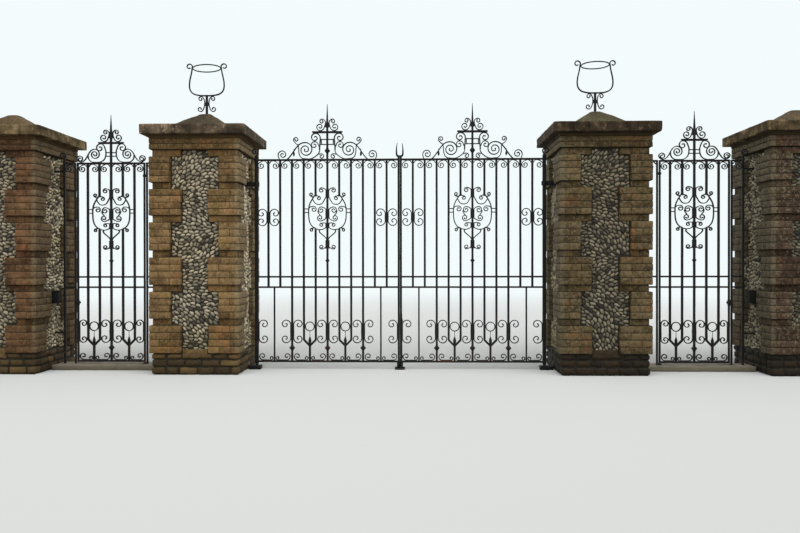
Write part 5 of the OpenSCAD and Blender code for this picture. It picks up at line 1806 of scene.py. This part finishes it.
def light_sky(context, stage):
    """The soft light from all round, and the backdrop that the camera sees."""
    context.scene.world = bpy.data.worlds.new("Soft sky")
    f = Finish("Soft sky", context.scene.world)
    light = f.node("Background", None, {"Color": SKY_COLOUR, "Strength": stage.sky_light})
    pale = f.node("Background", None, {"Color": tuple(stage.sky), "Strength": 1.0})
    shader = f.node("MixShader", None, {0: f.shown(), 1: light, 2: pale})
    f.node("OutputWorld", None, {"Surface": shader})
    sun = bpy.data.lights.new("soft sun", "SUN")
    sun.energy = stage.sun_light
    sun.angle = math.radians(SUN_SPREAD)
    sun.color = SUN_COLOUR
    linked(context, "soft sun", sun).rotation_euler = [math.radians(a) for a in SUN_TURN]


def set_camera(context):
    """The camera that sees the whole gate from the front."""
    lens = bpy.data.cameras.new("camera")
    lens.lens = LENS
    lens.sensor_width = 36
    lens.clip_end = 300
    camera = linked(context, "camera", lens)
    camera.location = CAMERA_PLACE
    camera.rotation_euler = [math.radians(a) for a in CAMERA_TURN]
    context.scene.camera = camera


class GATE_OT_lay_cores(bpy.types.Operator):
    """Lays the flint panels and rough footings of the four piers"""

    bl_idname = "gate.lay_cores"
    bl_label = "Lay flint panels and footings"

    def execute(self, context):
        tones = context.scene.gate_masonry
        for k, (name, x) in enumerate(PIERS.items()):
            left = name.startswith("left")
            dim = OUTER_DIM if name.endswith("outer") else 1.0
            flint = scaled(tones.left_flint if left else tones.right_flint, dim)
            # The right piers' footing colour carries painted shade
            stone = scaled(tones.left_footing if left else tones.right_footing_in_shade, dim)
            mortar = scaled(tones.left_mortar if left else tones.right_mortar, 0.55 * dim)
            label = f"Flint and lime mortar, {name.replace('_', ' ')}"
            material = split_flint(label, flint, mortar, stone, x, 3 * k)
            work = draw_core(x, tones.seed + 20 + k)
            work.piece(f"{name}_pier_core", "piers", material, "flint", "laid", 58)
        return {"FINISHED"}


class GATE_OT_lay_quoins(bpy.types.Operator):
    """Lays the stepped brick quoins and the necking of the four piers"""

    bl_idname = "gate.lay_quoins"
    bl_label = "Lay brick quoins"

    def execute(self, context):
        tones = context.scene.gate_masonry
        bricks = {"left_outer": tones.left_outer_brick, "left_inner": tones.left_brick,
                  "right_inner": tones.right_brick, "right_outer": tones.right_outer_brick}
        for k, (name, x) in enumerate(PIERS.items()):
            left = name.startswith("left")
            middle = tuple(bricks[name])
            lime = tones.left_mortar if left else tones.right_mortar
            mortar = scaled([0.5 * a + 0.5 * b for a, b in zip(lime, middle)], 0.75)
            # Lichen takes the tone of its pier on the left, and is pale and spotted on the right. Its colour
            # also serves for the painted light on the inward face
            lichen = scaled((0.300, 0.240, 0.140), middle[0] / 0.15) if left else (0.225, 0.196, 0.126)
            label = f"Weathered brick, {name.replace('_', ' ')}"
            material = fire_brick(label, middle, mortar, lichen, 0.1 if left else 0.8, x, 3 * k)
            slot = "left_brick" if left else "right_brick"
            work = draw_quoins(x, tones.seed + k)
            work.piece(f"{name}_pier_quoins", "piers", material, slot, "laid", 65)
        return {"FINISHED"}


class GATE_OT_set_caps(bpy.types.Operator):
    """Sets the caps with their mounds on the four piers"""

    bl_idname = "gate.set_caps"
    bl_label = "Set the caps"

    def execute(self, context):
        tones = context.scene.gate_masonry
        caps = {"left_outer": tones.outer_cap, "left_inner": tones.left_cap, "right_inner": tones.right_cap,
                "right_outer": scaled(tones.outer_cap, RIGHT_OUTER_CAP_DIM)}
        for k, (name, x) in enumerate(PIERS.items()):
            # Painted shade: the bed's brick colour is darkened for the shadow under the slab
            bed = scaled(tones.left_brick if name.startswith("left") else tones.right_brick, 0.62)
            label = f"Weathered cap, {name.replace('_', ' ')}"
            material = weather_cap(label, tuple(caps[name]), MOSS[name], bed, k)
            work = draw_cap(x, tones.seed + 60 + 5 * k)
            work.piece(f"{name}_pier_cap", "piers", material, "cap_stone", "laid", 50)
        return {"FINISHED"}


class GATE_OT_set_sills(bpy.types.Operator):
    """Sets the stone sills under the side gates"""

    bl_idname = "gate.set_sills"
    bl_label = "Set the sills"

    def execute(self, context):
        material = wear_stone()
        for name, side in SIDES.items():
            work = draw_sill(side * SIDE_X, 80 + side)
            work.piece(f"{name}_sill", "piers", material, "pale_stone", "laid", 60)
        return {"FINISHED"}


class GATE_OT_hang_main_leaves(bpy.types.Operator):
    """Forges the two main leaves with their lyres, scrolls and overthrows"""

    bl_idname = "gate.hang_main_leaves"
    bl_label = "Hang the main leaves"

    def execute(self, context):
        draws = {"heel_stile": draw_heel_stile(), "bay_scrolls": draw_bay_scrolls(),
                 "lyre": draw_lyre(MAIN_BAY, LYRE_Z), "cresting": draw_main_cresting(),
                 "lower_scrolls": draw_lower_scrolls()}
        for name, side in SIDES.items():
            draws["frame"] = draw_main_frame(side > 0)
            for part, local in draws.items():
                forge_copy(local, f"{name}_leaf_{part}", f"{name}_leaf", -side, side * LEAF_X)
        return {"FINISHED"}


class GATE_OT_hang_side_leaves(bpy.types.Operator):
    """Forges the two side leaves with their lyres, scrolls and overthrows"""

    bl_idname = "gate.hang_side_leaves"
    bl_label = "Hang the side leaves"

    def execute(self, context):
        draws = {"stile": draw_side_stile(), "frame": draw_side_frame(),
                 "lyre": draw_lyre(SIDE_BAY, SIDE_LYRE_Z), "cresting": draw_side_cresting(),
                 "scrolls": draw_side_scrolls()}
        for name, side in SIDES.items():
            for part, local in draws.items():
                forge_copy(local, f"{name}_side_{part}", f"{name}_side_leaf", side, side * SIDE_X)
        return {"FINISHED"}


class GATE_OT_fix_irons(bpy.types.Operator):
    """Fixes the hinges, jamb posts, gate stop and drop bolt"""

    bl_idname = "gate.fix_irons"
    bl_label = "Fix the irons"

    def execute(self, context):
        draws = (("hinge_irons", draw_hinge_irons(), AXIS_X), ("jamb_panels", draw_jambs(), SIDE_X),
                 ("side_hinges", draw_side_hinges(), SIDE_X))
        for name, side in SIDES.items():
            for part, local, x in draws:
                forge_copy(local, f"{name}_{part}", "piers", side, side * x)
        draw_gate_stop().piece("gate_stop", "piers", iron_finish(), "iron")
        draw_drop_bolt().piece("drop_bolt", "drop_bolt", iron_finish(), "iron")
        return {"FINISHED"}


class GATE_OT_stand_cradles(bpy.types.Operator):
    """Stands the lantern cradles on the inner piers"""

    bl_idname = "gate.stand_cradles"
    bl_label = "Stand the lantern cradles"

    def execute(self, context):
        cradle = draw_cradle()
        hoop = draw_hoop()
        for name, side in SIDES.items():
            lean = math.radians(HOOP_LEAN[name])
            work = Work()
            for local, turn, rise in ((cradle, 0, 0), (hoop, lean, HOOP_Z)):
                verts = np.concatenate(local.verts)
                x = verts[:, 0] * math.cos(turn) + verts[:, 2] * math.sin(turn)
                z = verts[:, 2] * math.cos(turn) - verts[:, 0] * math.sin(turn)
                verts = np.column_stack([x + side * INNER_X, verts[:, 1], z + CAP_TOP_Z + rise])
                work.add(verts, np.concatenate(local.quads), np.concatenate(local.tris))
            work.piece(f"{name}_lantern_cradle", "piers", iron_finish(), "iron")
        return {"FINISHED"}


class GATE_OT_fix_boxes(bpy.types.Operator):
    """Fixes the small boxes to the outer piers"""

    bl_idname = "gate.fix_boxes"
    bl_label = "Fix the wall boxes"

    def execute(self, context):
        material = mould_case()
        for name, side in SIDES.items():
            draw_wall_box(side).piece(f"{name}_wall_box", "piers", material, "black_box", "fixed")
        return {"FINISHED"}


class GATE_OT_dress_stage(bpy.types.Operator):
    """Lays the pale floor and sets the sky, the sun and the camera"""

    bl_idname = "gate.dress_stage"
    bl_label = "Dress the stage"

    def execute(self, context):
        stage = context.scene.gate_stage
        lay_floor(context, stage)
        light_sky(context, stage)
        set_camera(context)
        context.scene.view_settings.view_transform = "Standard"
        return {"FINISHED"}


BUILDERS = (GATE_OT_dress_stage, GATE_OT_lay_cores, GATE_OT_lay_quoins, GATE_OT_set_caps, GATE_OT_set_sills,
            GATE_OT_hang_main_leaves, GATE_OT_hang_side_leaves, GATE_OT_fix_irons, GATE_OT_stand_cradles,
            GATE_OT_fix_boxes)
SETTINGS = {"gate_iron": IronSettings, "gate_masonry": MasonrySettings, "gate_stage": StageSettings}


class GATE_PT_panel(bpy.types.Panel):
    """Lists the settings and the steps in which the gate is built"""

    bl_label = "Driveway gate"
    bl_idname = "GATE_PT_panel"
    bl_space_type = "VIEW_3D"
    bl_region_type = "UI"
    bl_category = "Gate"

    def draw(self, context):
        for label, group in SETTINGS.items():
            box = self.layout.box()
            for name in group.__annotations__:
                box.prop(getattr(context.scene, label), name)
        for builder in BUILDERS:
            self.layout.operator(builder.bl_idname)


def register():
    for group in (*SETTINGS.values(), *BUILDERS, GATE_PT_panel):
        bpy.utils.register_class(group)
    for label, group in SETTINGS.items():
        setattr(bpy.types.Scene, label, bpy.props.PointerProperty(type=group))


def unregister():
    for label in SETTINGS:
        delattr(bpy.types.Scene, label)
    for group in reversed((*SETTINGS.values(), *BUILDERS, GATE_PT_panel)):
        bpy.utils.unregister_class(group)


def main():
    register()
    for builder in BUILDERS:
        getattr(bpy.ops.gate, builder.bl_idname.split(".")[1])()


if __name__ == "__main__":
    main()
